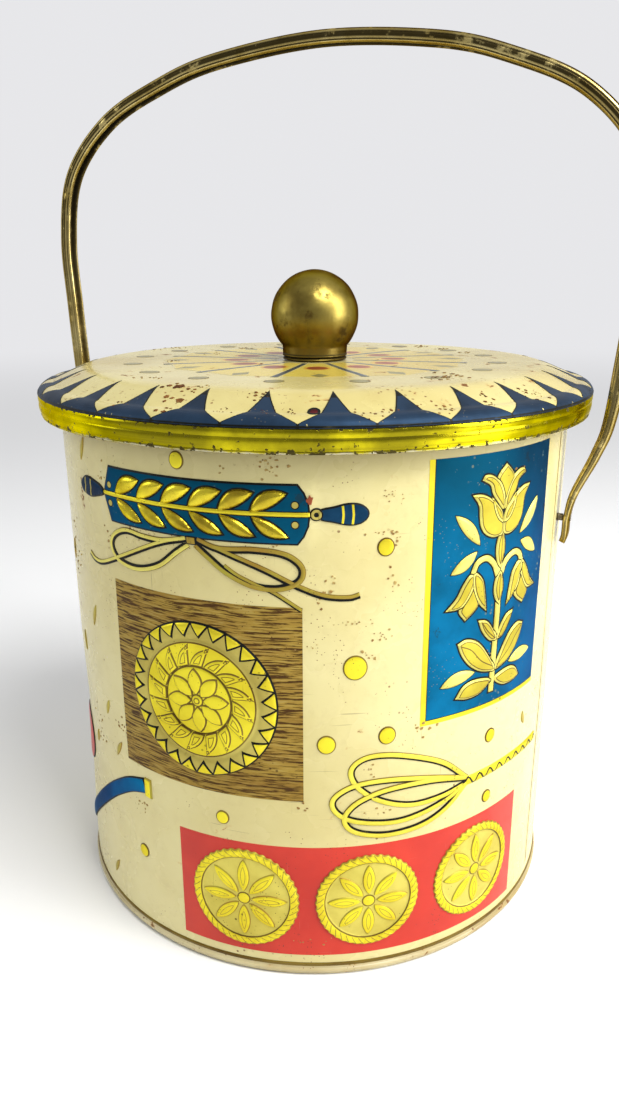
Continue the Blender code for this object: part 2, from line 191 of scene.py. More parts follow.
class Graph:
    """A material's node tree, built with short calls."""

    def __init__(self, name):
        self.material = bpy.data.materials.new(name)
        self.material.use_nodes = True
        self.tree = self.material.node_tree
        self.shader = self.tree.nodes["Principled BSDF"]
        self.place = self.add("ShaderNodeTexCoord").outputs["Object"]

    def add(self, kind, **values):
        node = self.tree.nodes.new(kind)
        for key, value in values.items():
            setattr(node, key, value)
        return node

    def put(self, socket, value):
        """Link a socket, or set a plain value or an opaque colour."""
        if isinstance(value, bpy.types.NodeSocket):
            self.tree.links.new(value, socket)
        elif isinstance(value, tuple):
            socket.default_value = (*value, 1.0)
        else:
            socket.default_value = value

    def scaled(self, x, y, z, source=None):
        node = self.add("ShaderNodeMapping")
        self.put(node.inputs["Vector"], source or self.place)
        node.inputs["Scale"].default_value = (x, y, z)
        return node.outputs["Vector"]

    def noise(self, scale, detail=3.0, roughness=0.55, distortion=0.0, vector=None):
        node = self.add("ShaderNodeTexNoise")
        self.put(node.inputs["Vector"], vector or self.place)
        node.inputs["Scale"].default_value = scale
        node.inputs["Detail"].default_value = detail
        node.inputs["Roughness"].default_value = roughness
        node.inputs["Distortion"].default_value = distortion
        return node.outputs["Fac"]

    def cells(self, scale):
        node = self.add("ShaderNodeTexVoronoi")
        self.put(node.inputs["Vector"], self.place)
        node.inputs["Scale"].default_value = scale
        return node.outputs["Distance"]

    def band(self, value, low, high):
        """0 below low, 1 above high, smooth between them; low may be the greater."""
        node = self.add("ShaderNodeMapRange", interpolation_type="SMOOTHSTEP")
        self.put(node.inputs["Value"], value)
        node.inputs["From Min"].default_value = low
        node.inputs["From Max"].default_value = high
        return node.outputs["Result"]

    def math(self, kind, first, second):
        node = self.add("ShaderNodeMath", operation=kind)
        self.put(node.inputs[0], first)
        self.put(node.inputs[1], second)
        return node.outputs["Value"]

    def times(self, first, second):
        return self.math("MULTIPLY", first, second)

    def plus(self, first, second):
        return self.math("ADD", first, second)

    def minus(self, first, second):
        return self.math("SUBTRACT", first, second)

    def greater(self, first, second):
        return self.math("MAXIMUM", first, second)

    def mix(self, share, first, second, kind="RGBA"):
        """The first colour where the share is 0, the second where it is 1."""
        node = self.add("ShaderNodeMix", data_type=kind)
        self.put(node.inputs["Factor"], share)
        self.put(node.inputs["A"], first)
        self.put(node.inputs["B"], second)
        return node.outputs["Result"]

    def blend(self, share, first, second):
        """The same for plain numbers."""
        return self.mix(share, first, second, "FLOAT")

    def height(self):
        node = self.add("ShaderNodeSeparateXYZ")
        self.put(node.inputs["Vector"], self.place)
        return node.outputs["Z"]

    def attribute(self, name):
        return self.add("ShaderNodeAttribute", attribute_name=name)

    def bump(self, height, distance, strength):
        node = self.add("ShaderNodeBump")
        self.put(node.inputs["Height"], height)
        node.inputs["Distance"].default_value = distance
        node.inputs["Strength"].default_value = strength
        self.put(self.shader.inputs["Normal"], node.outputs["Normal"])

    def shade(self, color, roughness=0.4, metallic=0.0, coat=0.0, specular=0.5):
        self.put(self.shader.inputs["Base Color"], color)
        self.put(self.shader.inputs["Roughness"], roughness)
        self.put(self.shader.inputs["Metallic"], metallic)
        self.shader.inputs["Coat Weight"].default_value = coat
        self.shader.inputs["Coat Roughness"].default_value = 0.12
        self.shader.inputs["Specular IOR Level"].default_value = specular
        return self.material

    def specks(self, low):
        """Small rust freckles in loose clusters: 1 on a freckle."""
        small = self.band(self.cells(520.0), 0.24, 0.17)
        cluster = self.band(self.noise(46.0, 4.0, 0.65), low, low + 0.10)
        fine = self.band(self.cells(900.0), 0.17, 0.12)
        spread = self.band(self.noise(70.0, 3.0, 0.6), 0.54, 0.60)
        return self.greater(self.times(small, cluster), self.times(fine, spread))

    def chips(self, low, high):
        """Larger ragged chips where the lacquer has gone."""
        return self.band(self.noise(120.0, 6.0, 0.62, 0.4), low, high)

    def scratches(self):
        """Fine hairlines in two directions."""
        first = self.noise(1.0, 2.0, 0.5, 0.0, self.scaled(60.0, 60.0, 2600.0))
        second = self.noise(1.0, 2.0, 0.5, 0.0, self.scaled(1900.0, 1900.0, 70.0))
        sparse = self.band(self.noise(30.0, 2.0), 0.50, 0.66)
        lines = self.greater(self.band(first, 0.70, 0.75), self.band(second, 0.71, 0.77))
        return self.times(lines, sparse)


def lacquer(name, light, dark, speck_low=0.58, chip_low=0.70, specular=0.35, shade_share=0.0):
    """Aged cream lacquer over tinplate, with yellowing, freckles of rust, chips and hairlines, and a painted
    shadow with some grime under the rim.
    """
    graph = Graph(name)
    ageing = graph.band(graph.noise(16.0, 4.0, 0.6), 0.35, 0.70)
    color = graph.mix(ageing, light, dark)
    grime = graph.times(graph.band(graph.noise(220.0, 5.0, 0.7), 0.50, 0.75), 0.16)
    color = graph.mix(grime, color, (0.42, 0.31, 0.13))
    # painted shadow with some grime: a dark brown band just under the rim, where its overhang shades the
    # wall; shade_share sets how strong
    rim_shadow_and_grime = graph.band(graph.height(), RIM_BOTTOM * MM - 0.009, RIM_BOTTOM * MM + 0.001)
    color = graph.mix(graph.times(rim_shadow_and_grime, shade_share), color, (0.20, 0.135, 0.035))
    lines = graph.scratches()
    color = graph.mix(graph.times(lines, 0.75), color, (0.22, 0.155, 0.07))
    halo = graph.times(graph.chips(chip_low - 0.035, chip_low + 0.02), 0.55)
    color = graph.mix(halo, color, (0.50, 0.27, 0.07))
    specks = graph.specks(speck_low)
    chips = graph.chips(chip_low, chip_low + 0.02)
    rust = graph.mix(graph.noise(300.0, 3.0), (0.10, 0.035, 0.010), (0.26, 0.12, 0.03))
    worn = graph.greater(specks, chips)
    color = graph.mix(worn, color, rust)
    rough = graph.blend(graph.noise(60.0, 3.0), 0.20, 0.34)
    rough = graph.blend(worn, rough, 0.85)
    relief = graph.minus(graph.times(graph.noise(140.0, 2.0), 0.35), worn)
    relief = graph.minus(relief, graph.times(lines, 0.3))
    graph.bump(relief, 0.00008, 0.6)
    return graph.shade(color, rough, 0.0, 0.1, specular)


def foil(name, light, deep, metallic, roughness=0.30, fleck=0.58, fleck_color=(0.10, 0.07, 0.02),
         top_shade=None):
    """Tinted lacquer over bare tin: a coloured metal with mottling and dark flecks, and painted shade towards
    the top when top_shade is given.
    """
    graph = Graph(name)
    mottle = graph.band(graph.noise(48.0, 5.0, 0.6), 0.36, 0.66)
    color = graph.mix(mottle, light, deep)
    if top_shade:
        # painted shade: the colour darkens to top_shade towards the top of the wall, as in the rim's shadow
        top_shade_height = graph.plus(graph.height(), graph.times(graph.noise(30.0, 3.0), 0.03))
        color = graph.mix(graph.times(graph.band(top_shade_height, 0.120, 0.178), 0.85), color, top_shade)
        scuffs = graph.band(graph.noise(95.0, 6.0, 0.72), 0.635, 0.66)
        color = graph.mix(graph.times(scuffs, 0.6), color, (0.020, 0.040, 0.050))
    specks = graph.specks(fleck)
    lines = graph.times(graph.scratches(), 0.5)
    color = graph.mix(lines, color, tuple(0.5 * part for part in deep))
    color = graph.mix(graph.times(specks, 0.85), color, fleck_color)
    rough = graph.blend(graph.noise(110.0, 4.0), roughness - 0.06, roughness + 0.12)
    rough = graph.blend(specks, rough, 0.8)
    relief = graph.minus(graph.times(graph.noise(260.0, 3.0), 0.4), specks)
    graph.bump(relief, 0.00006, 0.5)
    shine = graph.blend(specks, metallic, 0.1)
    graph.put(graph.shader.inputs["Specular Tint"], light)
    return graph.shade(color, rough, shine, 0.0, 0.3)


def enamel(name, light, deep):
    """Opaque printed colour with light rubbing and small nicks that show bright metal."""
    graph = Graph(name)
    tone = graph.band(graph.noise(26.0, 4.0, 0.6), 0.35, 0.68)
    color = graph.mix(tone, light, deep)
    rubbed = graph.times(graph.scratches(), 0.35)
    color = graph.mix(rubbed, color, (0.55, 0.30, 0.22))
    nicks = graph.band(graph.noise(170.0, 4.0, 0.6), 0.755, 0.77)
    color = graph.mix(nicks, color, (0.66, 0.60, 0.50))
    specks = graph.specks(0.60)
    color = graph.mix(specks, color, (0.09, 0.025, 0.015))
    rough = graph.blend(graph.noise(80.0, 3.0), 0.24, 0.40)
    graph.bump(graph.minus(graph.noise(150.0, 2.0), graph.plus(specks, nicks)),
               0.00005, 0.5)
    return graph.shade(color, rough, 0.0, 0.0, 0.25)


def wood_print(name):
    """Printed wood grain: brown with broken dark streaks that run round the tin."""
    graph = Graph(name)
    art = graph.attribute("art").outputs["Vector"]
    wavy = graph.times(graph.noise(70.0, 2.0), 0.0012)
    bend = graph.add("ShaderNodeCombineXYZ")
    graph.put(bend.inputs["Y"], wavy)
    shifted = graph.add("ShaderNodeVectorMath", operation="ADD")
    graph.put(shifted.inputs[0], art)
    graph.put(shifted.inputs[1], bend.outputs["Vector"])
    grain = graph.noise(1.0, 5.0, 0.62, 0.2, graph.scaled(105.0, 1500.0, 1.0, shifted.outputs["Vector"]))
    broad = graph.noise(1.0, 3.0, 0.5, 0.0, graph.scaled(22.0, 160.0, 1.0, shifted.outputs["Vector"]))
    color = graph.mix(graph.band(broad, 0.30, 0.70), (0.36, 0.240, 0.042), (0.27, 0.160, 0.028))
    color = graph.mix(graph.band(grain, 0.485, 0.565), color, (0.066, 0.031, 0.008))
    color = graph.mix(graph.times(graph.band(grain, 0.45, 0.35), 0.5), color, (0.46, 0.36, 0.11))
    specks = graph.specks(0.60)
    color = graph.mix(specks, color, (0.05, 0.02, 0.01))
    rough = graph.blend(grain, 0.34, 0.48)
    graph.bump(grain, 0.00003, 0.4)
    return graph.shade(color, rough, 0.0, 0.0, 0.08)


def brass(name, light, deep, dark, roughness, spots=0.60, hammer=0.00005, shade_below=None):
    """Old brass: brown lacquer left in patches, turned lines, pits and bright rubbed places, with painted
    shade in its grooves and, on the knob, on the ball's lower half.
    """
    graph = Graph(name)
    patch = graph.band(graph.noise(55.0, 5.0, 0.6, 0.3), 0.34, 0.66)
    color = graph.mix(patch, light, deep)
    # painted shade: the ball darkens to brown below this height, as its underside gets less light
    if shade_below:
        low = graph.band(graph.height(), shade_below + 0.001, shade_below - 0.009)
        color = graph.mix(graph.times(low, 0.62), color, (0.105, 0.068, 0.016))
    stain = graph.band(graph.noise(130.0, 6.0, 0.65), spots, spots + 0.12)
    color = graph.mix(graph.times(stain, 0.8), color, dark)
    broken = graph.band(graph.noise(210.0, 5.0, 0.65), 0.66, 0.56)
    tarnish = graph.times(graph.attribute("tarnish").outputs["Fac"], broken)
    color = graph.mix(graph.times(tarnish, 0.93), color, (0.030, 0.021, 0.007))
    # painted shade: the groove attribute darkens grooves, slots and notches nearly to black and dulls the
    # metal there
    groove = graph.attribute("groove").outputs["Fac"]
    color = graph.mix(groove, color, (0.012, 0.009, 0.005))
    rough = graph.blend(graph.noise(180.0, 4.0), roughness - 0.05, roughness + 0.14)
    rough = graph.blend(graph.greater(stain, groove), rough, 0.62)
    turned = graph.noise(1.0, 2.0, 0.5, 0.0, graph.scaled(30.0, 30.0, 3200.0))
    relief = graph.minus(graph.times(turned, 0.25), stain)
    hollows = graph.times(graph.noise(420.0, 3.0, 0.6), 0.8)
    relief = graph.plus(relief, hollows)
    graph.bump(relief, hammer, 0.45)
    graph.put(graph.shader.inputs["Specular Tint"], tuple(1.2 * part for part in deep))
    return graph.shade(color, rough, graph.blend(groove, 1.0, 0.3))


def plain_metal(name, light, deep, roughness):
    """Bare or tinned steel with stains and a little rust."""
    graph = Graph(name)
    tone = graph.band(graph.noise(45.0, 5.0, 0.6), 0.35, 0.65)
    color = graph.mix(tone, light, deep)
    rust = graph.band(graph.noise(150.0, 6.0, 0.62), 0.64, 0.72)
    color = graph.mix(rust, color, (0.19, 0.075, 0.02))
    rough = graph.blend(graph.noise(200.0, 3.0), roughness - 0.08, roughness + 0.12)
    rough = graph.blend(rust, rough, 0.8)
    graph.bump(graph.plus(graph.noise(320.0, 3.0), rust), 0.00004, 0.4)
    return graph.shade(color, rough, graph.blend(rust, 1.0, 0.15))


def rim_gold(name):
    """The rim band's gold lacquer, rubbed through to black flecks and to silver at the hem."""
    graph = Graph(name)
    height = graph.height()
    mottle = graph.band(graph.noise(26.0, 5.0, 0.62), 0.38, 0.62)
    color = graph.mix(mottle, (0.90, 0.77, 0.012), (0.27, 0.23, 0.008))
    streak = graph.noise(1.0, 4.0, 0.6, 0.0, graph.scaled(16.0, 16.0, 1100.0))
    color = graph.mix(graph.times(graph.band(streak, 0.50, 0.64), 0.5), color, (0.20, 0.16, 0.01))
    ragged = graph.times(graph.noise(150.0, 5.0, 0.7), 0.0024)
    edge = graph.plus(height, ragged)
    hem = graph.band(edge, 0.1633, 0.1627)
    color = graph.mix(graph.times(hem, 0.85), color, (0.50, 0.47, 0.36))
    low_edge = graph.band(height, 0.1634, 0.1618)
    high_edge = graph.band(height, 0.1670, 0.1679)
    crowd = graph.times(graph.greater(low_edge, high_edge), 0.11)
    fleck_noise = graph.plus(graph.noise(560.0, 4.0, 0.6), crowd)
    flecks = graph.band(fleck_noise, 0.635, 0.67)
    color = graph.mix(flecks, color, (0.045, 0.035, 0.012))
    rough = graph.blend(graph.noise(150.0, 4.0), 0.15, 0.28)
    rough = graph.blend(flecks, rough, 0.8)
    graph.bump(graph.minus(graph.times(streak, 0.3), flecks), 0.00006, 0.5)
    graph.put(graph.shader.inputs["Specular Tint"], (0.75, 0.62, 0.02))
    return graph.shade(color, rough, graph.blend(flecks, 1.0, 0.1))


def plain_rust(name, dark, light):
    """Rust where the lacquer has flaked away, darker in places."""
    graph = Graph(name)
    tone = graph.band(graph.noise(420.0, 4.0, 0.6), 0.36, 0.62)
    color = graph.mix(tone, dark, light)
    graph.bump(graph.noise(700.0, 3.0), 0.00006, 0.8)
    return graph.shade(color, 0.85, 0.0, 0.0, 0.1)


def ink_print(name):
    """Dark printed outline, rubbed thin here and there."""
    graph = Graph(name)
    thin = graph.times(graph.band(graph.noise(240.0, 4.0, 0.6), 0.56, 0.70), 0.6)
    color = graph.mix(thin, (0.004, 0.005, 0.004), (0.050, 0.042, 0.014))
    graph.bump(graph.noise(300.0, 2.0), 0.00002, 0.3)
    return graph.shade(color, graph.blend(thin, 0.42, 0.6), 0.0, 0.0, 0.12)


def make_materials():
    """Fill the table of materials, which pieces call by their short names."""
    MATERIALS.update({
        "cream": lacquer("cream_lacquer", (0.70, 0.625, 0.300), (0.61, 0.525, 0.220), shade_share=0.45),
        "lid": lacquer("lid_lacquer", (0.59, 0.515, 0.215), (0.45, 0.36, 0.115), 0.55, 0.64, 0.15),
        "foot": lacquer("foot_lacquer", (0.58, 0.51, 0.29), (0.38, 0.29, 0.12), 0.53, 0.62),
        "gold": foil("gold_foil", (0.80, 0.69, 0.040), (0.66, 0.54, 0.030), 0.55),
        "leaf": foil("leaf_gold", (0.88, 0.74, 0.050), (0.36, 0.25, 0.020), 0.92, 0.24),
        "pale": foil("pale_gold", (0.74, 0.68, 0.17), (0.64, 0.56, 0.12), 0.30, 0.35),
        "petal": foil("petal_gold", (0.60, 0.50, 0.055), (0.44, 0.355, 0.035), 0.45, 0.32),
        "wire": foil("wire_gold", (0.76, 0.68, 0.085), (0.66, 0.57, 0.060), 0.35, 0.34),
        "field": foil("field_gold", (0.66, 0.575, 0.125), (0.53, 0.445, 0.080), 0.40, 0.36),
        "dull": foil("dull_gold", (0.54, 0.46, 0.12), (0.43, 0.35, 0.08), 0.45, 0.36),
        "olive": foil("olive_gold", (0.38, 0.33, 0.05), (0.32, 0.19, 0.035), 0.35, 0.38),
        "brown": foil("brown_line", (0.20, 0.14, 0.03), (0.11, 0.065, 0.015), 0.2, 0.4),
        # the blue's last colour is painted shade towards the top
        "blue": foil("blue_foil", (0.005, 0.155, 0.33), (0.004, 0.098, 0.205), 0.80, 0.36,
                     0.55, (0.16, 0.20, 0.15), (0.003, 0.050, 0.085)),
        "navy": foil("navy_foil", (0.012, 0.055, 0.12), (0.006, 0.026, 0.06), 0.55, 0.36,
                     0.66, (0.004, 0.008, 0.02)),
        "tooth": foil("tooth_blue", (0.022, 0.045, 0.085), (0.014, 0.028, 0.052), 0.35, 0.38,
                      0.60, (0.22, 0.19, 0.12)),
        "red": enamel("red_enamel", (0.62, 0.042, 0.023), (0.50, 0.029, 0.018)),
        "wood": wood_print("wood_print"),
        "ink": ink_print("ink"),
        "rim": rim_gold("rim_gold"),
        "tin": plain_metal("bare_tin", (0.62, 0.58, 0.46), (0.42, 0.37, 0.25), 0.34),
        "steel": plain_metal("dull_steel", (0.24, 0.20, 0.13), (0.11, 0.085, 0.05), 0.42),
        # the ball's last value is the height below which painted shade darkens it
        "ball": brass("knob_brass", (0.37, 0.29, 0.068), (0.17, 0.122, 0.026),
                      (0.06, 0.038, 0.012), 0.30, 0.57, 0.00010, BALL_HEIGHT * MM),
        "strip": brass("handle_brass", (0.68, 0.55, 0.23), (0.42, 0.31, 0.09),
                       (0.06, 0.040, 0.014), 0.20, 0.60),
        "wedge": lacquer("faded_wedge", (0.61, 0.48, 0.085), (0.50, 0.36, 0.055), 0.55, 0.66, 0.10),
        "amber": enamel("faded_amber", (0.66, 0.40, 0.045), (0.50, 0.27, 0.035)),
        "russet": enamel("faded_russet", (0.30, 0.065, 0.022), (0.19, 0.040, 0.014)),
        "moss": enamel("faded_moss", (0.24, 0.215, 0.07), (0.17, 0.14, 0.045)),
        "slate": enamel("faded_slate", (0.060, 0.075, 0.078), (0.035, 0.042, 0.042)),
        "rust": plain_rust("rust", (0.065, 0.022, 0.008), (0.22, 0.095, 0.026)),
        "maroon": plain_rust("maroon", (0.045, 0.006, 0.007), (0.11, 0.013, 0.014)),
        "stain": plain_rust("stain", (0.22, 0.115, 0.035), (0.44, 0.31, 0.105)),
    })


# ---------------------------------------------------------------- surfaces that the print lies on

def soft_box(x, y, half_x, half_y, edge):
    """1 inside a rounded rectangle, falling smoothly to 0 over the edge width outside it."""
    out = np.hypot(np.maximum(np.abs(x) - half_x, 0.0), np.maximum(np.abs(y) - half_y, 0.0))
    t = np.clip(1.0 - out / edge, 0.0, 1.0)
    return t * t * (3.0 - 2.0 * t)


def wall_offset(angle, z):
    """Emboss and old dents of the wall, outward in millimetres; angle in radians from the front."""
    lift = np.zeros(np.broadcast(angle, z).shape)
    for middle in (0.0, math.pi):
        away = (angle - middle + math.pi) % (2 * math.pi) - math.pi
        arc_length = away * BODY_RADIUS
        lift = lift + 0.35 * soft_box(arc_length, z - PIN_HEIGHT, 32.0, 7.5, 3.0)
        lift = lift + 0.35 * soft_box(np.hypot(arc_length, z - MEDALLION_HEIGHT), 0.0, 22.0, 1.0, 3.0)
    wave = 0.10 * np.sin(3.0 * angle + 0.6) * np.sin(z / 47.0)
    wave = wave + 0.07 * np.sin(7.0 * angle + z / 21.0) + 0.05 * np.sin(13.0 * angle - z / 13.0)
    for turn, height, size, depth in ((-52.0, 58.0, 26.0, 1.0), (-62.0, 128.0, 10.0, 0.35),
                                      (20.0, 100.0, 14.0, 0.25), (150.0, 70.0, 18.0, 0.6),
                                      (-140.0, 110.0, 15.0, 0.5), (52.0, 60.0, 12.0, 0.2)):
        away = (angle - math.radians(turn) + math.pi) % (2 * math.pi) - math.pi
        wave = wave - depth * np.exp(-((away * BODY_RADIUS) ** 2 + (z - height) ** 2) / size ** 2)
    seam = math.radians(SEAM_ANGLE)
    beyond = (angle - seam) * BODY_RADIUS
    lap = 0.30 * np.clip((beyond + 0.25) / 0.5, 0.0, 1.0) * np.clip((6.5 - beyond) / 4.0, 0.0, 1.0)
    fade = np.clip((z - 4.0) / 6.0, 0.0, 1.0) * np.clip((166.0 - z) / 6.0, 0.0, 1.0)
    return (lift + wave + lap) * fade


def on_wall(angle, height):
    """A placer for flat artwork whose origin is at this angle, in degrees, and height on the wall."""
    start = math.radians(angle) * BODY_RADIUS

    def place(points, lift):
        turn = (points[:, 0] + start) / BODY_RADIUS
        z = points[:, 1] + height
        radius = BODY_RADIUS + wall_offset(turn, z) + lift
        return np.stack([radius * np.sin(turn), -radius * np.cos(turn), z], axis=1)
    return place


def lid_height(radius):
    """Height of the lid's outer face at a distance from its axis.

    The plateau runs softly into the slope; the guard keeps the exponentials in range.
    """
    fall = (PLATEAU_HEIGHT - CREASE_HEIGHT) / (CREASE_RADIUS - PLATEAU_RADIUS)
    slope = PLATEAU_HEIGHT - fall * (radius - PLATEAU_RADIUS)
    soft = 0.6
    guard = 290.0
    sum_of_both = np.exp(-PLATEAU_HEIGHT / soft + guard) + np.exp(-slope / soft + guard)
    top = -soft * np.log(sum_of_both) + guard * soft
    share = np.clip((radius - CREASE_RADIUS) / (RIM_RADIUS - CREASE_RADIUS), 0.0, 1.0)
    roll = RIM_TOP + (CREASE_HEIGHT - RIM_TOP) * np.sqrt(1.0 - share ** 2)
    return np.where(radius < CREASE_RADIUS, top, roll)


def lid_dents(x, y):
    """Shallow unevenness of the pressed lid."""
    wave = 0.07 * np.sin(x / 13.0 + 1.0) * np.sin(y / 17.0) + 0.05 * np.sin((x - y) / 9.0)
    for cx, cy, size, depth in ((-30.0, -48.0, 9.0, 0.35), (44.0, -30.0, 12.0, 0.3), (20.0, 50.0, 14.0, 0.4)):
        wave = wave - depth * np.exp(-((x - cx) ** 2 + (y - cy) ** 2) / size ** 2)
    near_middle = np.clip((np.hypot(x, y) - 12.0) / 8.0, 0.0, 1.0)
    return wave * near_middle


def on_lid(points, lift):
    """Place artwork drawn in plan on the lid's outer face."""
    radius = np.hypot(points[:, 0], points[:, 1])
    step = 0.05
    rise = (lid_height(radius + step) - lid_height(radius - step)) / (2 * step)
    rise = np.clip(rise, -6.0, 0.0)
    length = np.sqrt(1.0 + rise ** 2)
    out = -rise / length * lift
    z = lid_height(radius) + lid_dents(points[:, 0], points[:, 1]) + lift / length
    share = 1.0 + out / np.maximum(radius, 1.0)
    return np.stack([points[:, 0] * share, points[:, 1] * share, z], axis=1)


# ---------------------------------------------------------------- drawing outlines

def array(points):
    return np.asarray(points, dtype=float)


def smooth_path(points, closed=False, steps=8):
    """A Catmull-Rom curve through the points."""
    points = array(points)
    count = len(points)
    if closed:
        guide = np.vstack([points[-1:], points, points[:2]])
        spans = count
    else:
        guide = np.vstack([2 * points[0] - points[1], points, 2 * points[-1] - points[-2]])
        spans = count - 1
    t = np.linspace(0.0, 1.0, steps, endpoint=False)[:, None]
    parts = []
    for index in range(spans):
        a, b, c, d = guide[index:index + 4]
        parts.append(0.5 * (2 * b + (c - a) * t + (2 * a - 5 * b + 4 * c - d) * t ** 2
                            + (3 * b - a - 3 * c + d) * t ** 3))
    if not closed:
        parts.append(points[-1:])
    return np.vstack(parts)


def disc(x, y, radius, steps=36, tall=1.0):
    turn = np.linspace(0.0, 2 * math.pi, steps, endpoint=False)
    return np.stack([x + radius * np.cos(turn), y + radius * tall * np.sin(turn)], axis=1)


def box_outline(left, right, low, high):
    return array([(left, low), (right, low), (right, high), (left, high)])


def leaf(base, tip, width, bend=0.0, steps=14, fullness=0.8):
    """A pointed leaf from its base to its tip; bend bows it to the left of that direction."""
    base = array(base)
    tip = array(tip)
    along = tip - base
    side = array((-along[1], along[0])) / np.hypot(*along)
    t = np.linspace(0.0, 1.0, steps)
    spine = base + np.outer(t, along) + np.outer(4.0 * t * (1.0 - t) * bend, side)
    half = 0.5 * width * np.sin(math.pi * t) ** fullness
    left = spine + half[:, None] * side
    right = spine - half[:, None] * side
    return np.vstack([left, right[-2:0:-1]])


def signed_area(loop):
    x, y = loop[:, 0], loop[:, 1]
    return 0.5 * np.sum(x * np.roll(y, -1) - np.roll(x, -1) * y)


def corner_normals(loop, closed=True):
    """Unit mitre directions to the left of travel, and their lengths limited at sharp corners."""
    ahead = np.roll(loop, -1, axis=0) - loop
    behind = loop - np.roll(loop, 1, axis=0)
    if not closed:
        ahead[-1] = behind[-1]
        behind[0] = ahead[0]
    ahead = ahead / np.maximum(np.hypot(ahead[:, 0], ahead[:, 1]), 1e-9)[:, None]
    behind = behind / np.maximum(np.hypot(behind[:, 0], behind[:, 1]), 1e-9)[:, None]
    left = np.stack([-(ahead[:, 1] + behind[:, 1]), ahead[:, 0] + behind[:, 0]], axis=1)
    length = np.maximum(np.hypot(left[:, 0], left[:, 1]), 1e-9)
    left = left / length[:, None]
    stretch = np.minimum(2.0 / length, 1.8)
    return left * stretch[:, None]


def inset(loop, distance):
    """The loop moved inward, or outward where the distance is negative."""
    inward = 1.0 if signed_area(loop) > 0 else -1.0
    return loop + corner_normals(loop) * distance * inward


def border(loop, width):
    """The band just inside a loop."""
    return [loop, inset(loop, width)]


def stroke(path, width, closed=False):
    """A line of some width along a path."""
    path = array(path)
    side = corner_normals(path, closed) * width / 2
    if closed:
        return [path + side, path - side]
    return [np.vstack([path + side, (path - side)[::-1]])]


def dense(loop, step):
    """The loop with its long edges divided."""
    parts = []
    for start, end in zip(loop, np.roll(loop, -1, axis=0)):
        count = max(1, int(math.ceil(np.hypot(*(end - start)) / step)))
        t = np.arange(count)[:, None] / count
        parts.append(start + (end - start) * t)
    return np.vstack(parts)


def inside_loop(points, loop):
    """Which points lie inside one loop, by crossings."""
    result = np.zeros(len(points), bool)
    low, high = loop.min(axis=0), loop.max(axis=0)
    near = np.nonzero(np.all((points >= low) & (points <= high), axis=1))[0]
    if not len(near):
        return result
    x, y = points[near, 0][:, None], points[near, 1][:, None]
    x0, y0 = loop[:, 0], loop[:, 1]
    x1, y1 = np.roll(x0, -1), np.roll(y0, -1)
    spans = (y0 > y) != (y1 > y)
    rise = np.where(y1 == y0, 1e-12, y1 - y0)
    crossing = x < (x1 - x0) * (y - y0) / rise + x0
    result[near] = np.count_nonzero(spans & crossing, axis=1) % 2 == 1
    return result


def inside(points, shape):
    """Which points lie inside a shape, a list of loops where a loop inside another is a hole."""
    result = np.zeros(len(points), bool)
    for loop in shape:
        result ^= inside_loop(points, loop)
    return result


def edge_distance(points, shape):
    """Distance from each point to the nearest edge of a shape."""
    best = np.full(len(points), 1e9)
    for loop in shape:
        start = loop
        run = np.roll(loop, -1, axis=0) - loop
        length = np.maximum(np.sum(run ** 2, axis=1), 1e-12)
        for first in range(0, len(points), 4000):
            part = points[first:first + 4000]
            away = part[:, None, :] - start[None]
            t = np.clip(np.sum(away * run[None], axis=2) / length, 0.0, 1.0)
            gap = away - t[..., None] * run[None]
            near = np.sqrt(np.min(np.sum(gap ** 2, axis=2), axis=1))
            best[first:first + 4000] = np.minimum(best[first:first + 4000], near)
    return best


def pillow(points, shape, lift, shoulder):
    """Height of a rounded swelling that fills a shape."""
    height = np.zeros(len(points))
    mask = inside(points, shape)
    if mask.any():
        t = np.clip(edge_distance(points[mask], shape) / shoulder, 0.0, 1.0)
        height[mask] = lift * np.sqrt(np.maximum(1.0 - (1.0 - t) ** 2, 0.0))
    return height


# ---------------------------------------------------------------- making pieces

def finish_mesh(name, vertices, faces, indices, materials, sharp=38.0, attributes=None):
    """An object from points in millimetres and named materials, shaded smooth with sharp creases."""
    mesh = bpy.data.meshes.new(name)
    mesh.from_pydata([tuple(point) for point in np.asarray(vertices) * MM], [], faces)
    for key in materials:
        mesh.materials.append(MATERIALS[key])
    mesh.polygons.foreach_set("material_index", indices)
    for key, values in (attributes or {}).items():
        values = np.asarray(values, dtype=float)
        if values.ndim == 1:
            mesh.attributes.new(key, "FLOAT", "POINT").data.foreach_set("value", values)
        else:
            mesh.attributes.new(key, "FLOAT_VECTOR", "POINT").data.foreach_set("vector", values.ravel())
    mesh.validate()
    bm = bmesh.new()
    bm.from_mesh(mesh)
    bmesh.ops.recalc_face_normals(bm, faces=bm.faces)
    bm.to_mesh(mesh)
    bm.free()
    mesh.shade_smooth()
    mesh.set_sharp_from_angle(angle=math.radians(sharp))
    item = bpy.data.objects.new(name, mesh)
    bpy.context.collection.objects.link(item)
    return item


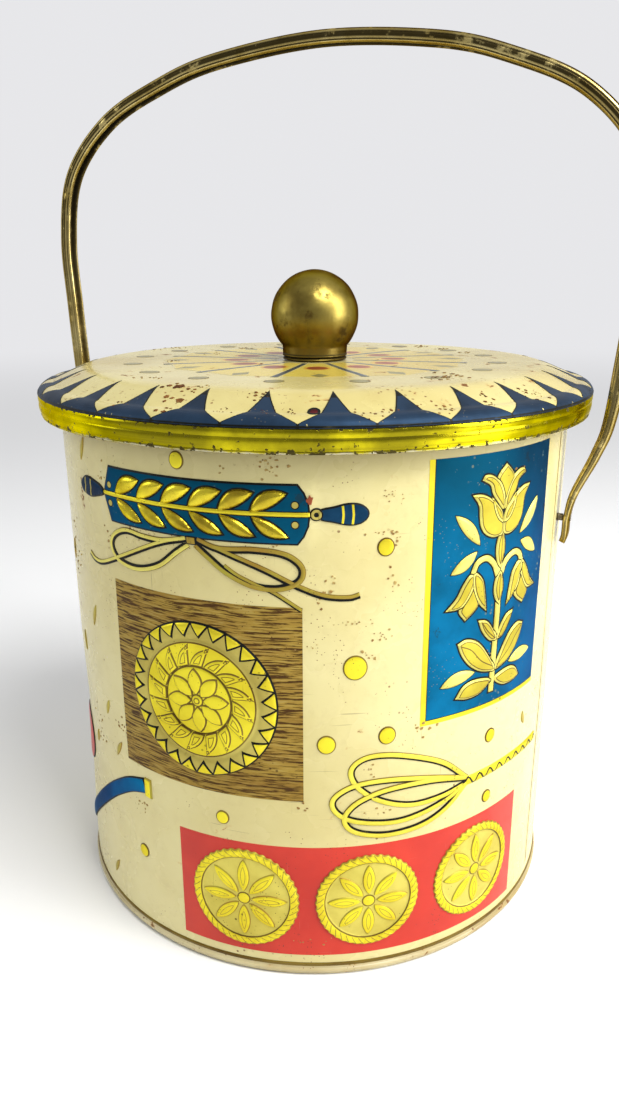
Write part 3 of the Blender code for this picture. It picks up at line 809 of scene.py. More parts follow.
def skin(name, place, shapes, paints, height, step=0.8, sink=0.35):
    """A thin closed sheet of print: its footprint is the union of the shapes, each paint is a
    (shape, material) laid over those before it, and height gives its face above the surface."""
    loops = [dense(loop, 1.6) for shape in shapes for loop in shape]
    for shape, _ in paints:
        if shape is not None:
            loops += [dense(loop, 1.6) for loop in shape]
    corners = np.vstack(loops)
    low, high = corners.min(axis=0), corners.max(axis=0)
    across = np.arange(low[0] + step / 2, high[0], step)
    rows = np.arange(low[1] + step / 2, high[1], step * 0.87)
    grid = array([(x + (step / 2 if row % 2 else 0.0), y)
                  for row, y in enumerate(rows) for x in across]).reshape(-1, 2)
    keep = np.zeros(len(grid), bool)
    for shape in shapes:
        keep |= inside(grid, shape)
    grid = grid[keep]
    if len(grid):
        cells = {(int(p[0] / 0.3), int(p[1] / 0.3)) for p in corners}
        grid = array([p for p in grid if (int(p[0] / 0.3), int(p[1] / 0.3)) not in cells]).reshape(-1, 2)
    points = np.vstack([corners, grid]) if len(grid) else corners
    edges = []
    start = 0
    for loop in loops:
        count = len(loop)
        edges += [(start + k, start + (k + 1) % count) for k in range(count)]
        start += count
    result = delaunay_2d_cdt([Vector(p) for p in points], edges, [], 0, 1e-4, False)
    flat = array([tuple(p) for p in result[0]])
    faces = np.array(result[2])
    middle = flat[faces].mean(axis=1)
    keep = np.zeros(len(faces), bool)
    for shape in shapes:
        keep |= inside(middle, shape)
    faces = faces[keep]
    middle = middle[keep]
    used, compact = np.unique(faces, return_inverse=True)
    faces = compact.reshape(-1, 3)
    flat = flat[used]
    materials = []
    index = np.zeros(len(faces), int)
    for shape, mat in paints:
        if mat not in materials:
            materials.append(mat)
        chosen = np.ones(len(faces), bool) if shape is None else inside(middle, shape)
        index[chosen] = materials.index(mat)
    lift = height(flat)
    top = place(flat, lift)
    bottom = place(flat, np.full(len(flat), -sink))
    count = len(flat)
    seen = {}
    for face in faces:
        for a, b in ((face[0], face[1]), (face[1], face[2]), (face[2], face[0])):
            key = (min(a, b), max(a, b))
            seen[key] = seen.get(key, 0) + 1
    sides = []
    side_index = []
    for number, face in enumerate(faces):
        for a, b in ((face[0], face[1]), (face[1], face[2]), (face[2], face[0])):
            if seen[(min(a, b), max(a, b))] == 1:
                sides.append((int(b), int(a), int(a) + count, int(b) + count))
                side_index.append(index[number])
    everything = [tuple(int(v) for v in face) for face in faces]
    everything += [tuple(int(v) + count for v in face[::-1]) for face in faces]
    everything += sides
    art = np.column_stack([np.vstack([flat, flat]) * MM, np.zeros(2 * count)])
    return finish_mesh(name, np.vstack([top, bottom]), everything,
                       list(index) + list(index) + side_index, materials, 38.0, {"art": art})


def lathe(name, outline, segments, materials, index=None, shift=None, sharp=38.0, groove=None):
    """Turn a closed (radius, height) outline about Z; shift moves each ring's points."""
    rings = []
    vertices = []
    grooves = []
    turns = np.arange(segments) * 2 * math.pi / segments
    for number, (radius, height) in enumerate(outline):
        if radius == 0.0:
            rings.append([len(vertices)])
            vertices.append((0.0, 0.0, height))
            grooves.append(0.0)
            continue
        ring = np.stack([radius * np.sin(turns), -radius * np.cos(turns), np.full(segments, height)], axis=1)
        if shift is not None:
            ring = shift(number, turns, ring)
        rings.append(list(range(len(vertices), len(vertices) + segments)))
        vertices += [tuple(point) for point in ring]
        # groove gives each outline point's painted shade in grooves
        grooves += [groove[number] if groove else 0.0] * segments
    pairs = list(zip(rings, rings[1:], range(len(rings))))
    if len(rings[0]) > 1:
        pairs.append((rings[-1], rings[0], len(rings) - 1))
    faces = []
    indices = []
    for lower, upper, number in pairs:
        for step in range(segments):
            after = (step + 1) % segments
            if len(lower) == 1:
                faces.append((lower[0], upper[step], upper[after]))
            elif len(upper) == 1:
                faces.append((lower[step], upper[0], lower[after]))
            else:
                faces.append((lower[step], upper[step], upper[after], lower[after]))
            indices.append(index[number] if index else 0)
    return finish_mesh(name, vertices, faces, indices, materials, sharp, {"groove": grooves})


def belong(piece, body, slot, *nodes):
    """Make a piece move with a body and stand for the nodes it replaces; slot is not used."""
    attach(piece, body)
    if nodes:
        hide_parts(*nodes)


def arc(centre, radius, start, end, steps):
    """Points of an arc; the angles are in degrees, anticlockwise from the first axis."""
    points = []
    for step in range(steps + 1):
        angle = math.radians(start + (end - start) * step / steps)
        points.append((centre[0] + radius * math.cos(angle), centre[1] + radius * math.sin(angle)))
    return points


# ---------------------------------------------------------------- the tin's own metal

def build_wall():
    """The rolled wall with its emboss, dents and lap seam, and its bead at the mouth."""
    inner = BODY_RADIUS - SHEET
    low = 0.8
    outer = [(BODY_RADIUS, z) for z in np.linspace(low, 167.9, 118)]
    bead = arc((inner + BEAD_RADIUS, BEAD_HEIGHT), BEAD_RADIUS, -125.0, 180.0, 14)
    back = [(inner, z) for z in np.linspace(167.0, low, 30)]
    outline = outer + bead + back
    painted = len(outer) + 5

    def shift(number, turns, ring):
        z = ring[0, 2]
        if number >= len(outer) + len(bead) or number < len(outer):
            push = wall_offset(turns, np.full(len(turns), z))
            radius = np.hypot(ring[:, 0], ring[:, 1])
            ring[:, :2] *= ((radius + push) / radius)[:, None]
        return ring
    index = [0 if number < painted else 1 for number in range(len(outline))]
    wall = lathe("tin_wall", outline, 480, ["cream", "tin"], index, shift)
    belong(wall, "tin", "body_lacquer", "body_shell")


def build_foot():
    """The foot: folded bead with a dark worn groove above it, and the raised panel underneath."""
    outline = [(0.0, 3.0), (79.5, 3.0), (80.6, 2.6), (81.2, 0.5), (81.6, 0.0), (82.5, 0.0)]
    outline += arc((82.45, 1.55), 0.85, -70.0, 70.0, 9)
    outline += [(82.65, 2.95), (82.62, 3.35), (82.85, 3.75), (82.62, 4.15), (82.3, 4.2), (82.3, 3.6),
                (81.6, 3.5), (0.0, 3.5)]
    bead_start = 5
    groove_start = bead_start + 11
    index = [2] * len(outline)
    for number in range(bead_start, groove_start):
        index[number] = 0
    for number in range(groove_start, groove_start + 4):
        index[number] = 1
    foot = lathe("tin_foot", outline, 288, ["foot", "brown", "tin"], index)
    belong(foot, "tin", "tinplate", "base_plate")


def build_seam():
    """The dark line of solder along the side seam's lap."""
    line = smooth_path([(-0.25, 8.0), (-0.2, 60.0), (-0.3, 110.0), (-0.2, 158.0)], steps=24)
    shape = stroke(line, 0.55)
    seam = skin("side_seam", on_wall(SEAM_ANGLE, 0.0), [shape], [(None, "brown")],
                level(0.07), 2.0)
    belong(seam, "tin", "body_lacquer")


def build_lid():
    """The pressed lid top, down to the start of the gold rim band."""
    shoulder = np.sin(np.linspace(0.02, 1.42, 12))
    radii = np.concatenate([np.linspace(2.3, 72.0, 56), np.linspace(73.0, 84.4, 22),
                            CREASE_RADIUS + (RIM_RADIUS - 0.1 - CREASE_RADIUS) * shoulder])
    outer = [(radius, float(lid_height(radius))) for radius in radii]
    inner = [(radius - 0.12, float(lid_height(radius)) - 0.52) for radius in radii[::3]]
    outline = outer + inner[::-1]

    def shift(number, turns, ring):
        ring[:, 2] += lid_dents(ring[:, 0], ring[:, 1])
        return ring
    index = [0 if number < len(outer) - 1 else 1 for number in range(len(outline))]
    lid = lathe("lid_top", outline, 360, ["lid", "tin"], index, shift, 30.0)
    belong(lid, "lid", "lid_lacquer", "lid_shell")
    line = [(88.7, 168.5), (89.1, 168.66), (89.22, 168.5), (89.28, 168.2), (89.29, 167.9),
            (88.7, 167.9)]
    edge = lathe("rim_line", line, 288, ["ink"])
    belong(edge, "lid", "lid_lacquer")


def build_rim():
    """The gold band round the lid: a shallow roll with a pressed line and a folded hem."""
    outline = [(88.5, 168.05), (88.95, 168.0), (89.2, 167.6), (89.29, 167.0), (89.28, 166.4), (89.2, 165.95),
               (89.05, 165.75), (89.03, 165.55), (89.14, 165.35), (89.2, 164.8), (89.18, 164.1),
               (89.08, 163.4), (88.92, 162.8), (88.74, 162.35), (88.66, 162.25), (88.7, 162.1),
               (88.72, 161.8), (88.6, 161.5), (88.4, 161.38), (88.15, 161.45), (88.0, 161.8),
               (88.0, 163.0), (88.3, 163.2), (88.3, 167.6)]
    random.seed(11)
    waves = [(int(random.uniform(4, 60)), random.uniform(0, 6.28), random.uniform(0.01, 0.035))
             for _ in range(10)]

    def shift(number, turns, ring):
        push = sum(size * np.sin(count * turns + phase) for count, phase, size in waves)
        lower = np.clip((167.6 - ring[0, 2]) / 4.0, 0.0, 1.0)
        ring[:, :2] *= (1.0 - (np.abs(push) * 0.9 * lower / RIM_RADIUS))[:, None]
        return ring
    rim = lathe("rim_band", outline, 480, ["rim"], None, shift, 50.0)
    belong(rim, "lid", "lid_lacquer")


def build_knob():
    """The spun ball on its short neck, with small dings and pits, and the ring under it."""
    shoulder = -math.degrees(math.acos(NECK_RADIUS / BALL_RADIUS))
    outer = arc((0.0, BALL_HEIGHT), BALL_RADIUS, 90.0, shoulder, 60)
    outer[0] = (0.0, BALL_HEIGHT + BALL_RADIUS)
    outer += [(NECK_RADIUS - 0.02, 179.6), (NECK_RADIUS - 0.06, 178.8), (NECK_RADIUS - 0.1, 178.0),
              (NECK_RADIUS - 0.12, 177.5), (NECK_RADIUS - 0.02, 177.25), (NECK_RADIUS - 0.08, 177.0),
              (NECK_RADIUS - 0.4, 176.92)]
    inner = arc((0.0, BALL_HEIGHT), BALL_RADIUS - 0.6, 90.0, shoulder - 1.0, 24)
    inner[0] = (0.0, BALL_HEIGHT + BALL_RADIUS - 0.6)
    inner += [(NECK_RADIUS - 0.75, 177.4), (NECK_RADIUS - 0.9, 176.95)]
    random.seed(5)
    pits = []
    for _ in range(34):
        turn = random.uniform(0, 2 * math.pi)
        tilt = math.asin(random.uniform(-0.55, 0.95))
        pits.append((turn, tilt, random.uniform(0.35, 0.9), random.uniform(0.05, 0.14)))
    for turn, tilt, size, depth in ((3.0, -22.0, 1.5, 0.22), (62.0, -24.0, 1.3, 0.25),
                                    (28.0, 28.0, 1.1, 0.16), (-12.0, 2.0, 1.0, 0.18)):
        pits.append((math.radians(turn), math.radians(tilt), size, depth))
    centre = array((0.0, 0.0, BALL_HEIGHT))

    def shift(number, turns, ring):
        if number >= len(outer):
            return ring
        away = ring - centre
        length = np.linalg.norm(away, axis=1)
        way = away / length[:, None]
        push = 0.05 * np.sin(2 * turns + 0.5) + 0.03 * np.sin(5 * turns + ring[:, 2])
        for turn, tilt, size, depth in pits:
            spot = array((math.sin(turn) * math.cos(tilt), -math.cos(turn) * math.cos(tilt), math.sin(tilt)))
            gap = np.linalg.norm(way - spot, axis=1) * BALL_RADIUS
            push = push - depth * np.exp(-(gap / size) ** 2)
        return ring + way * np.minimum(push, 0.0)[:, None]
    # painted shade in the groove of the neck under the ball
    shade = [1.0 if 177.3 < z < 177.9 and number < len(outer) else 0.0
             for number, (_, z) in enumerate(outer + inner)]
    knob = lathe("knob_ball", outer + inner[::-1], 144, ["ball"], None, shift, 50.0, shade)
    belong(knob, "lid", "knob_brass", "knob_shell")
    ring = [(2.3, 175.72), (9.7, 175.72), (10.35, 175.85), (10.55, 176.1), (10.4, 176.32), (10.2, 176.4),
            (10.3, 176.5), (10.2, 176.6), (2.3, 176.6)]
    # the last list is painted shade in the notch of the ring
    foot = lathe("knob_ring", ring, 144, ["ball"], None, None, 30.0,
                 [0.0, 0.0, 0.0, 0.0, 0.5, 1.0, 0.3, 0.0, 0.0])
    belong(foot, "lid", "knob_brass", "knob_foot_ring")


# ---------------------------------------------------------------- the handle

def strip_share(height):
    """0 on the flat tab and 1 on the full rolled strip."""
    t = min(max((height - 3.0) / 42.0, 0.0), 1.0)
    return t ** 0.7


def strip_section(height):
    """The handle's outline as (outward, sideways, painted shade in grooves, tarnish) points.

    The outside is a shallow dome; both edges are rolled under into beads with a slot between them.
    """
    full = strip_share(height)
    thick = 1.9 + 2.3 * full
    half = (8.0 - 2.2 * full) / 2
    if height < -4.0:
        half = math.sqrt(max(half ** 2 - (height + 4.0) ** 2, 0.3))
    side = [(0.49, 0.30, 0.0, 0.9), (0.46, 0.62, 0.0, 1.0), (0.40, 0.78, 0.0, 1.0), (0.33, 0.86, 0.0, 0.2),
            (0.27, 0.92, 0.1, 0.1), (0.20, 0.945, 0.3, 0.9), (0.155, 0.90 + 0.07 * (1 - full), 0.8, 1.0),
            (0.11, 0.96, 0.2, 1.0), (0.02, 1.0, 0.0, 1.0), (-0.12, 0.99, 0.0, 1.0), (-0.18, 0.975, 0.0, 0.1),
            (-0.24, 0.955, 0.0, 0.0), (-0.29, 0.925, 0.7, 1.0), (-0.34, 0.905, 0.7, 1.0),
            (-0.38, 0.88, 0.0, 0.0), (-0.45, 0.80, 0.0, 0.2), (-0.50, 0.68, 0.0, 0.6),
            (-0.50, 0.58, 0.1, 0.8),
            (-0.46 + 0.02 * full, 0.49, 0.6, 1.0), (-0.48 + 0.16 * full, 0.43, 1.0, 1.0),
            (-0.49 + 0.40 * full, 0.38, 1.0, 1.0)]
    # painted shade in the grooves, weaker low on the legs
    dark = 0.15 + 0.85 * min(max((height - 45.0) / 55.0, 0.0), 1.0)
    outline = [(0.50 * thick, 0.0, 0.0, 0.9)]
    outline += [(n * thick, y * half, g * dark, brown) for n, y, g, brown in side]
    outline.append(((-0.50 + 0.45 * full) * thick, 0.0, dark, 1.0))
    outline += [(n * thick, -y * half, g * dark, brown) for n, y, g, brown in reversed(side)]
    return outline


def build_handle():
    """The bail, bent in one curve from tab to tab."""
    half_arch = array(ARCH)
    mirrored = half_arch[:-1][::-1] * array((-1.0, 1.0))
    arch = smooth_path(np.vstack([half_arch, mirrored]), steps=14)
    tab = [(-4.0 - 4.0 * math.sin(math.radians(a))) for a in (80.0, 68.0, 52.0, 34.0, 16.0)]
    tab += [-4.0, -3.0, -2.0, -1.0]
    hook = array([(PIVOT_SPAN - 0.9 * max(0.0, (-w - 4.0) / 4.0) ** 2, w) for w in tab])
    line = np.vstack([hook, arch, hook[::-1] * array((-1.0, 1.0))])
    tangent = np.gradient(line, axis=0)
    tangent /= np.hypot(tangent[:, 0], tangent[:, 1])[:, None]
    lean = Matrix.Rotation(-HANDLE_LEAN, 3, "X")
    vertices = []
    grooves = []
    tarnish = []
    rings = []
    for number, (point, way) in enumerate(zip(line, tangent)):
        rubbed = 0.35 if point[0] < 0.0 else 0.70
        brown_share = rubbed + (1.0 - rubbed) * min(max((point[1] - 45.0) / 45.0, 0.0), 1.0)
        outward = (way[1], -way[0])
        ripple = 0.07 * math.sin(number * 0.37) + 0.04 * math.sin(number * 0.91 + 2.0)
        ring = []
        for n, y, g, brown in strip_section(point[1]):
            wander = ripple * strip_share(point[1]) * (0.4 if n > 0 else 1.0)
            spot = lean @ Vector((point[0] + outward[0] * n, y + 0.3 * wander, point[1] + outward[1] * n))
            ring.append(len(vertices))
            vertices.append((spot.x, spot.y, spot.z + PIVOT_HEIGHT))
            grooves.append(g)
            tarnish.append(brown * brown_share)
        rings.append(ring)
    count = len(rings[0])
    faces = []
    for lower, upper in zip(rings, rings[1:]):
        for step in range(count):
            after = (step + 1) % count
            faces.append((lower[step], lower[after], upper[after], upper[step]))
    faces.append(tuple(rings[0]))
    faces.append(tuple(rings[-1][::-1]))
    handle = finish_mesh("handle_strip", vertices, faces, [0] * len(faces), ["strip"], 55.0,
                         {"groove": grooves, "tarnish": tarnish})
    belong(handle, "handle", "handle_brass", "handle_bail")


def build_rivets():
    """Shouldered rivets with domed inner heads and a hammered outer end."""
    outline = [(0.0, 79.7), (1.0, 79.72), (2.1, 79.85), (2.9, 80.2), (3.2, 80.6), (3.2, 80.8), (1.15, 80.8),
               (1.15, 82.4), (1.3, 82.6), (1.15, 82.8), (1.1, 83.4), (1.15, 84.0), (0.8, 84.05), (0.8, 86.28),
               (1.15, 86.32), (1.2, 86.4), (1.0, 86.52), (0.5, 86.58), (0.0, 86.6)]
    for label, side in (("left", -1), ("right", 1)):
        rivet = lathe("rivet_pin_" + label, outline, 32, ["steel"])
        spin = Matrix.Rotation(side * math.pi / 2, 4, "Y")
        rivet.data.transform(Matrix.Translation((0.0, 0.0, PIVOT_HEIGHT * MM)) @ spin)
        belong(rivet, "tin", "steel", "rivet_" + label)


def coat_small_nodes():
    """Materials for the CAD pieces that are shown as they are."""
    wanted = {"lid_plug_ring": "tin", "knob_bush": "steel", "knob_washer": "steel", "knob_screw": "steel",
              "rivet_washer_left": "steel", "rivet_washer_right": "steel"}
    for node, key in wanted.items():
        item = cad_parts[node]
        for slot in item.material_slots:
            slot.material = MATERIALS[key]


# ---------------------------------------------------------------- printed and embossed motifs

def level(lift):
    """A height function: the same everywhere."""
    return lambda points: np.full(len(points), lift)


def swell(lift, *swellings):
    """A height function: a level with (shape, rise, shoulder) swellings on it."""
    def height(points):
        total = lift
        for shape, rise, shoulder in swellings:
            total = total + pillow(points, shape, rise, shoulder)
        return total
    return height


def rimmed(fill, shape, width, edge):
    """Paints for a whole shape in one material with an edge line in another."""
    return [(None, fill), (border(shape, width), edge)]


def outlined(shape, width, edge, fill):
    """Paints for a shape among others: its edge line, and what it encloses."""
    return [(border(shape, width), edge), ([inset(shape, width)], fill)]


def print_piece(name, place, shapes, paints, height, step=0.8, sink=0.35):
    """One sheet of print on the wall, or on the lid."""
    piece = skin(name, place, shapes, paints, height, step, sink)
    if place is on_lid:
        belong(piece, "lid", "lid_lacquer")
    else:
        belong(piece, "tin", "body_lacquer")


def rolling_pin(tag, angle):
    """A blue rolling pin with six pairs of embossed gold leaves on a stem."""
    upper = [(-29.3, 8.1), (29.3, 8.1), (31.0, 5.9), (32.2, 3.0), (32.5, 0.0)]
    body = array(upper + [(x, -y) for x, y in upper[-2::-1]] + [(-32.3, 0.0)])
    leaves = []
    for number in range(6):
        root = -26.2 + 8.62 * number
        leaves.append(leaf((root, 0.5), (root + 9.6, 5.6), 4.3, 0.9))
        leaves.append(leaf((root + 0.4, -0.7), (root + 9.8, -6.0), 3.7, -0.6))
    stem = stroke([(-32.4, 0.1), (32.4, 0.1)], 1.1)
    paints = rimmed("blue", body, 0.5, "ink")
    paints += [([inset(shape, -0.42)], "ink") for shape in leaves]
    paints.append((stroke([(-32.4, 0.1), (32.4, 0.1)], 1.7), "ink"))
    paints.append((stem, "gold"))
    for x, y in ((-29.0, 2.6), (-29.0, -2.6), (28.6, 2.6), (28.6, -2.6)):
        paints.append(([disc(x, y, 1.15, 20)], "ink"))
        paints.append(([disc(x, y, 0.85, 20)], "dull"))
    paints += [([shape], "leaf") for shape in leaves]
    leaf_swellings = [([shape], 1.0, 2.0) for shape in leaves]
    print_piece("rolling_pin_" + tag, on_wall(angle, PIN_HEIGHT), [[body]], paints,
                swell(0.10, ([body], 0.25, 2.5), *leaf_swellings, (stem, 0.25, 0.5)), 0.55)

    grip = smooth_path([(-32.4, 0.9), (-36.7, 2.3), (-43.0, 2.9), (-46.9, 0.6), (-45.8, -2.2), (-41.0, -3.1),
                        (-36.0, -2.1), (-32.4, -0.9)], True)
    stripes = [stroke([(-43.6, -3.6), (-42.6, 0.0), (-43.4, 3.6)], 0.55),
               stroke([(-40.2, -3.8), (-39.2, 0.0), (-40.0, 3.6)], 0.55)]
    paints = [(None, "navy")] + [(shape, "dull") for shape in stripes]
    paints.append((border(grip, 0.45), "ink"))
    print_piece("left_grip_" + tag, on_wall(angle, PIN_HEIGHT), [[grip]], paints,
                swell(0.08, ([grip], 0.6, 2.2)), 0.6)

    right = smooth_path([(34.8, 1.3), (38.4, 2.2), (42.0, 3.0), (45.0, 2.8), (47.0, 1.6), (47.7, 0.0),
                         (47.0, -1.6), (45.0, -2.8), (42.0, -3.0), (38.4, -2.2), (34.8, -1.3)], True, 4)
    collar = disc(34.0, 0.1, 1.75, 24)
    stripes = [stroke([(40.6, -3.4), (40.9, 0.0), (40.6, 3.4)], 0.6),
               stroke([(43.2, -3.6), (43.5, 0.0), (43.2, 3.6)], 0.6)]
    paints = [(None, "navy")] + [(shape, "gold") for shape in stripes]
    paints.append((border(right, 0.45), "ink"))
    paints.append(([collar], "dull"))
    paints.append((border(collar, 0.4), "ink"))
    paints.append(([disc(34.0, 0.1, 0.65, 16)], "ink"))
    print_piece("right_grip_" + tag, on_wall(angle, PIN_HEIGHT), [[right], [collar]], paints,
                swell(0.12, ([right], 0.5, 2.2), ([collar], 0.35, 1.0)), 0.6)


def ribbon(name, place, path, width, shade, outward, ink=0.72, lift=0.16):
    """A gold cord with brown edges, and the dark line of its shadow beside it."""
    line = smooth_path(path, False, 10)
    normal = corner_normals(line, False)
    gold = stroke(line + normal * outward, width)
    middle = stroke(line + normal * outward, width - 0.28)
    print_piece(name + "_gold", place, [gold], [(None, "brown"), (middle, shade)],
                swell(lift, (gold, 0.22, width / 2)), 0.8)
    dark = stroke(line, ink)
    print_piece(name + "_line", place, [dark], [(None, "ink")], level(lift + 0.05), 1.2)


def bow(tag, angle):
    """The tied bow that hangs under the rolling pin."""
    place = on_wall(angle, PIN_HEIGHT)
    strands = (
        ("left_loop", 1.3, "pale", (-0.95,),
         [(-1.5, -9.2), (-9.5, -10.9), (-16.9, -10.9), (-23.2, -10.4), (-28.2, -12.4), (-29.8, -15.3),
          (-27.2, -18.4), (-19.7, -19.3), (-11.7, -16.9), (-5.5, -12.2), (-1.5, -9.4)]),
        ("left_tail", 1.1, "pale", (-0.85, 0.6, 0.10),
         [(-1.5, -9.1), (-11.3, -12.0), (-26.3, -18.6), (-35.8, -22.4), (-41.0, -22.8), (-44.5, -21.3)]),
        ("right_loop", 1.35, "olive", (0.95,),
         [(1.6, -9.0), (7.8, -11.0), (17.5, -10.6), (25.4, -11.5), (29.4, -14.4), (28.8, -17.6),
          (24.0, -19.5), (17.3, -19.1), (10.4, -16.1), (4.8, -11.9), (1.6, -9.3)]),
        ("right_tail", 1.15, "olive", (0.85, 0.7, 0.10),
         [(1.6, -9.0), (10.6, -12.2), (20.1, -15.8), (28.5, -19.9), (35.8, -22.7), (42.4, -23.4),
          (45.6, -22.7)]),
        ("cross_tail", 1.0, "olive", (0.6, 0.4, 0.06),
         [(9.0, -15.2), (12.6, -17.6), (17.5, -19.8), (22.8, -22.0), (29.8, -26.6)]))
    for strand, width, shade, offsets, path in strands:
        ribbon("bow_%s_%s" % (strand, tag), place, path, width, shade, *offsets)
    knot = box_outline(-1.5, 1.7, -10.0, -7.4)
    print_piece("bow_knot_" + tag, place, [[knot]],
                rimmed("olive", knot, 0.4, "ink"),
                swell(0.2, ([knot], 0.35, 1.2)), 0.6)


def polar(radius, degrees):
    return (radius * math.cos(math.radians(degrees)), radius * math.sin(math.radians(degrees)))


def wood_panel(tag, angle):
    """The square of printed wood behind the large medallion."""
    square = box_outline(-30.3, 30.3, -29.5, 29.5)
    print_piece("wood_panel_" + tag, on_wall(angle, 89.9), [[square]], [(None, "wood")], level(0.07), 1.8)


def medallion(tag, angle):
    """The large medallion: a zigzag ring, a ring of curling leaves and an eight-petalled flower."""
    rim = disc(0.0, 0.0, 23.6, 108)
    count = 27
    points = []
    for number in range(count):
        points.append(polar(23.25, 360.0 * number / count))
        points.append(polar(19.3, 360.0 * (number + 0.5) / count))
    zigzag = array(points)
    gold_triangles = []
    for number in range(count):
        start, end = 360.0 * number / count, 360.0 * (number + 1) / count
        gold_triangles.append(array([polar(23.25, start), polar(23.25, (start + end) / 2), polar(23.25, end),
                                     polar(19.3, (start + end) / 2)]))
    field = disc(0.0, 0.0, 17.6, 72)
    boss = disc(0.0, 0.0, 10.5, 54)
    flames = []
    for number in range(16):
        turn = 22.5 * number
        rise = smooth_path([polar(10.6, turn + 11.0), polar(12.8, turn + 5.0), polar(15.0, turn - 3.5),
                            polar(17.2, turn - 15.0)], False, 6)
        fall = smooth_path([polar(17.2, turn - 15.0), polar(14.6, turn - 13.5), polar(12.4, turn - 12.5),
                            polar(10.6, turn - 11.0)], False, 6)
        flames.append(np.vstack([rise[:-1], fall]))
    petals = [leaf(polar(1.6, 45.0 * k + 95.0), polar(9.9, 45.0 * k + 95.0), 4.7, 0.0, 16, 0.8)
              for k in range(8)]
    paints = [(None, "dull")]
    paints += [([shape], "gold") for shape in gold_triangles]
    paints.append((stroke(zigzag, 0.62, True), "ink"))
    paints.append((border(rim, 0.5), "ink"))
    paints.append(([field], "gold"))
    paints.append((border(field, 0.45), "brown"))
    for shape in flames:
        paints += outlined(shape, 0.36, "brown", "gold")
        paints.append(([inset(shape, 1.0)], "brown"))
        paints.append(([inset(shape, 1.24)], "gold"))
    paints.append(([boss], "gold"))
    paints.append((border(boss, 0.5), "brown"))
    for shape in petals:
        paints += outlined(shape, 0.42, "brown", "gold")
    paints.append(([disc(0.0, 0.0, 2.0, 24)], "brown"))
    paints.append(([disc(0.0, 0.0, 1.55, 24)], "gold"))
    paints.append((border(disc(0.0, 0.0, 1.0, 20), 0.35), "brown"))

    def height(points):
        radius = np.hypot(points[:, 0], points[:, 1])
        lift = 0.12 + 0.42 * np.sqrt(np.clip((23.6 - radius) / 2.2, 0.0, 1.0))
        lift = lift - 0.45 * np.exp(-((radius - 18.4) / 0.7) ** 2)
        lift = lift - 0.40 * np.exp(-((radius - 10.5) / 0.5) ** 2)
        for shape in gold_triangles:
            lift = lift + pillow(points, [shape], 0.30, 1.0)
        for shape in flames:
            lift = lift + pillow(points, [shape], 0.40, 0.9)
        for shape in petals:
            lift = lift + pillow(points, [shape], 0.55, 1.6)
        return lift + 0.5 * np.exp(-(radius / 1.5) ** 4)
    print_piece("medallion_" + tag, on_wall(angle, MEDALLION_HEIGHT), [[rim]], paints, height, 0.6)


def rosette(name, place, radius):
    """A medallion with a rope edge and eight narrow petals."""
    twists = 42
    turn = np.linspace(0.0, 2 * math.pi, twists * 6, endpoint=False)
    wavy = radius + 0.22 * np.cos(twists * turn)
    rim = np.stack([wavy * np.cos(turn), wavy * np.sin(turn)], axis=1)
    field = disc(0.0, 0.0, radius - 2.5, 72)
    petals = [leaf(polar(2.2, 45.0 * k + 90.0), polar(radius - 3.3, 45.0 * k + 90.0), 3.9, 0.0, 14, 0.7)
              for k in range(8)]
    pitch = 360.0 / twists
    ribs = [stroke([polar(radius - 2.3, pitch * k), polar(radius - 0.15, pitch * k + 8.0)], 0.24)
            for k in range(twists)]
    paints = [(None, "gold")]
    paints += [(shape, "olive") for shape in ribs]
    paints.append((border(rim, 0.25), "olive"))
    paints.append(([field], "field"))
    paints.append((border(field, 0.34), "brown"))
    for shape in petals:
        paints += outlined(shape, 0.26, "olive", "gold")
        paints.append(([inset(shape, 1.15)], "olive"))
        paints.append(([inset(shape, 1.35)], "gold"))
    paints.append(([disc(0.0, 0.0, 2.1, 24)], "brown"))
    paints.append(([disc(0.0, 0.0, 1.7, 24)], "gold"))

    def height(points):
        away = np.hypot(points[:, 0], points[:, 1])
        angle = np.arctan2(points[:, 1], points[:, 0])
        rope = np.clip(1.0 - ((away - radius + 1.4) / 1.5) ** 2, 0.0, 1.0)
        lift = 0.14 + 0.65 * np.sqrt(rope) + 0.14 * rope * np.cos(twists * angle + 2.2 * (away - radius))
        lift = lift + 0.25 * np.clip((radius - 3.2 - away) / 3.0, 0.0, 1.0)
        for shape in petals:
            lift = lift + pillow(points, [shape], 0.5, 1.2)
        return lift + 0.45 * np.exp(-(away / 1.7) ** 4)
    print_piece(name, place, [[rim]], paints, height, 0.6)


def red_band(tag, angle):
    """The red panel round the foot with its three rope-edged rosettes."""
    panel = box_outline(-57.6, 57.6, -19.0, 19.0)
    print_piece("red_panel_" + tag, on_wall(angle, 26.0), [[panel]], [(None, "red")], level(0.08), 2.0)
    for number, (x, radius) in enumerate(((-36.6, 16.6), (0.6, 15.7), (37.6, 15.7))):
        place = on_wall(angle + math.degrees(x / BODY_RADIUS), 25.9)
        rosette("rosette_%s_%d" % (tag, number), place, radius)


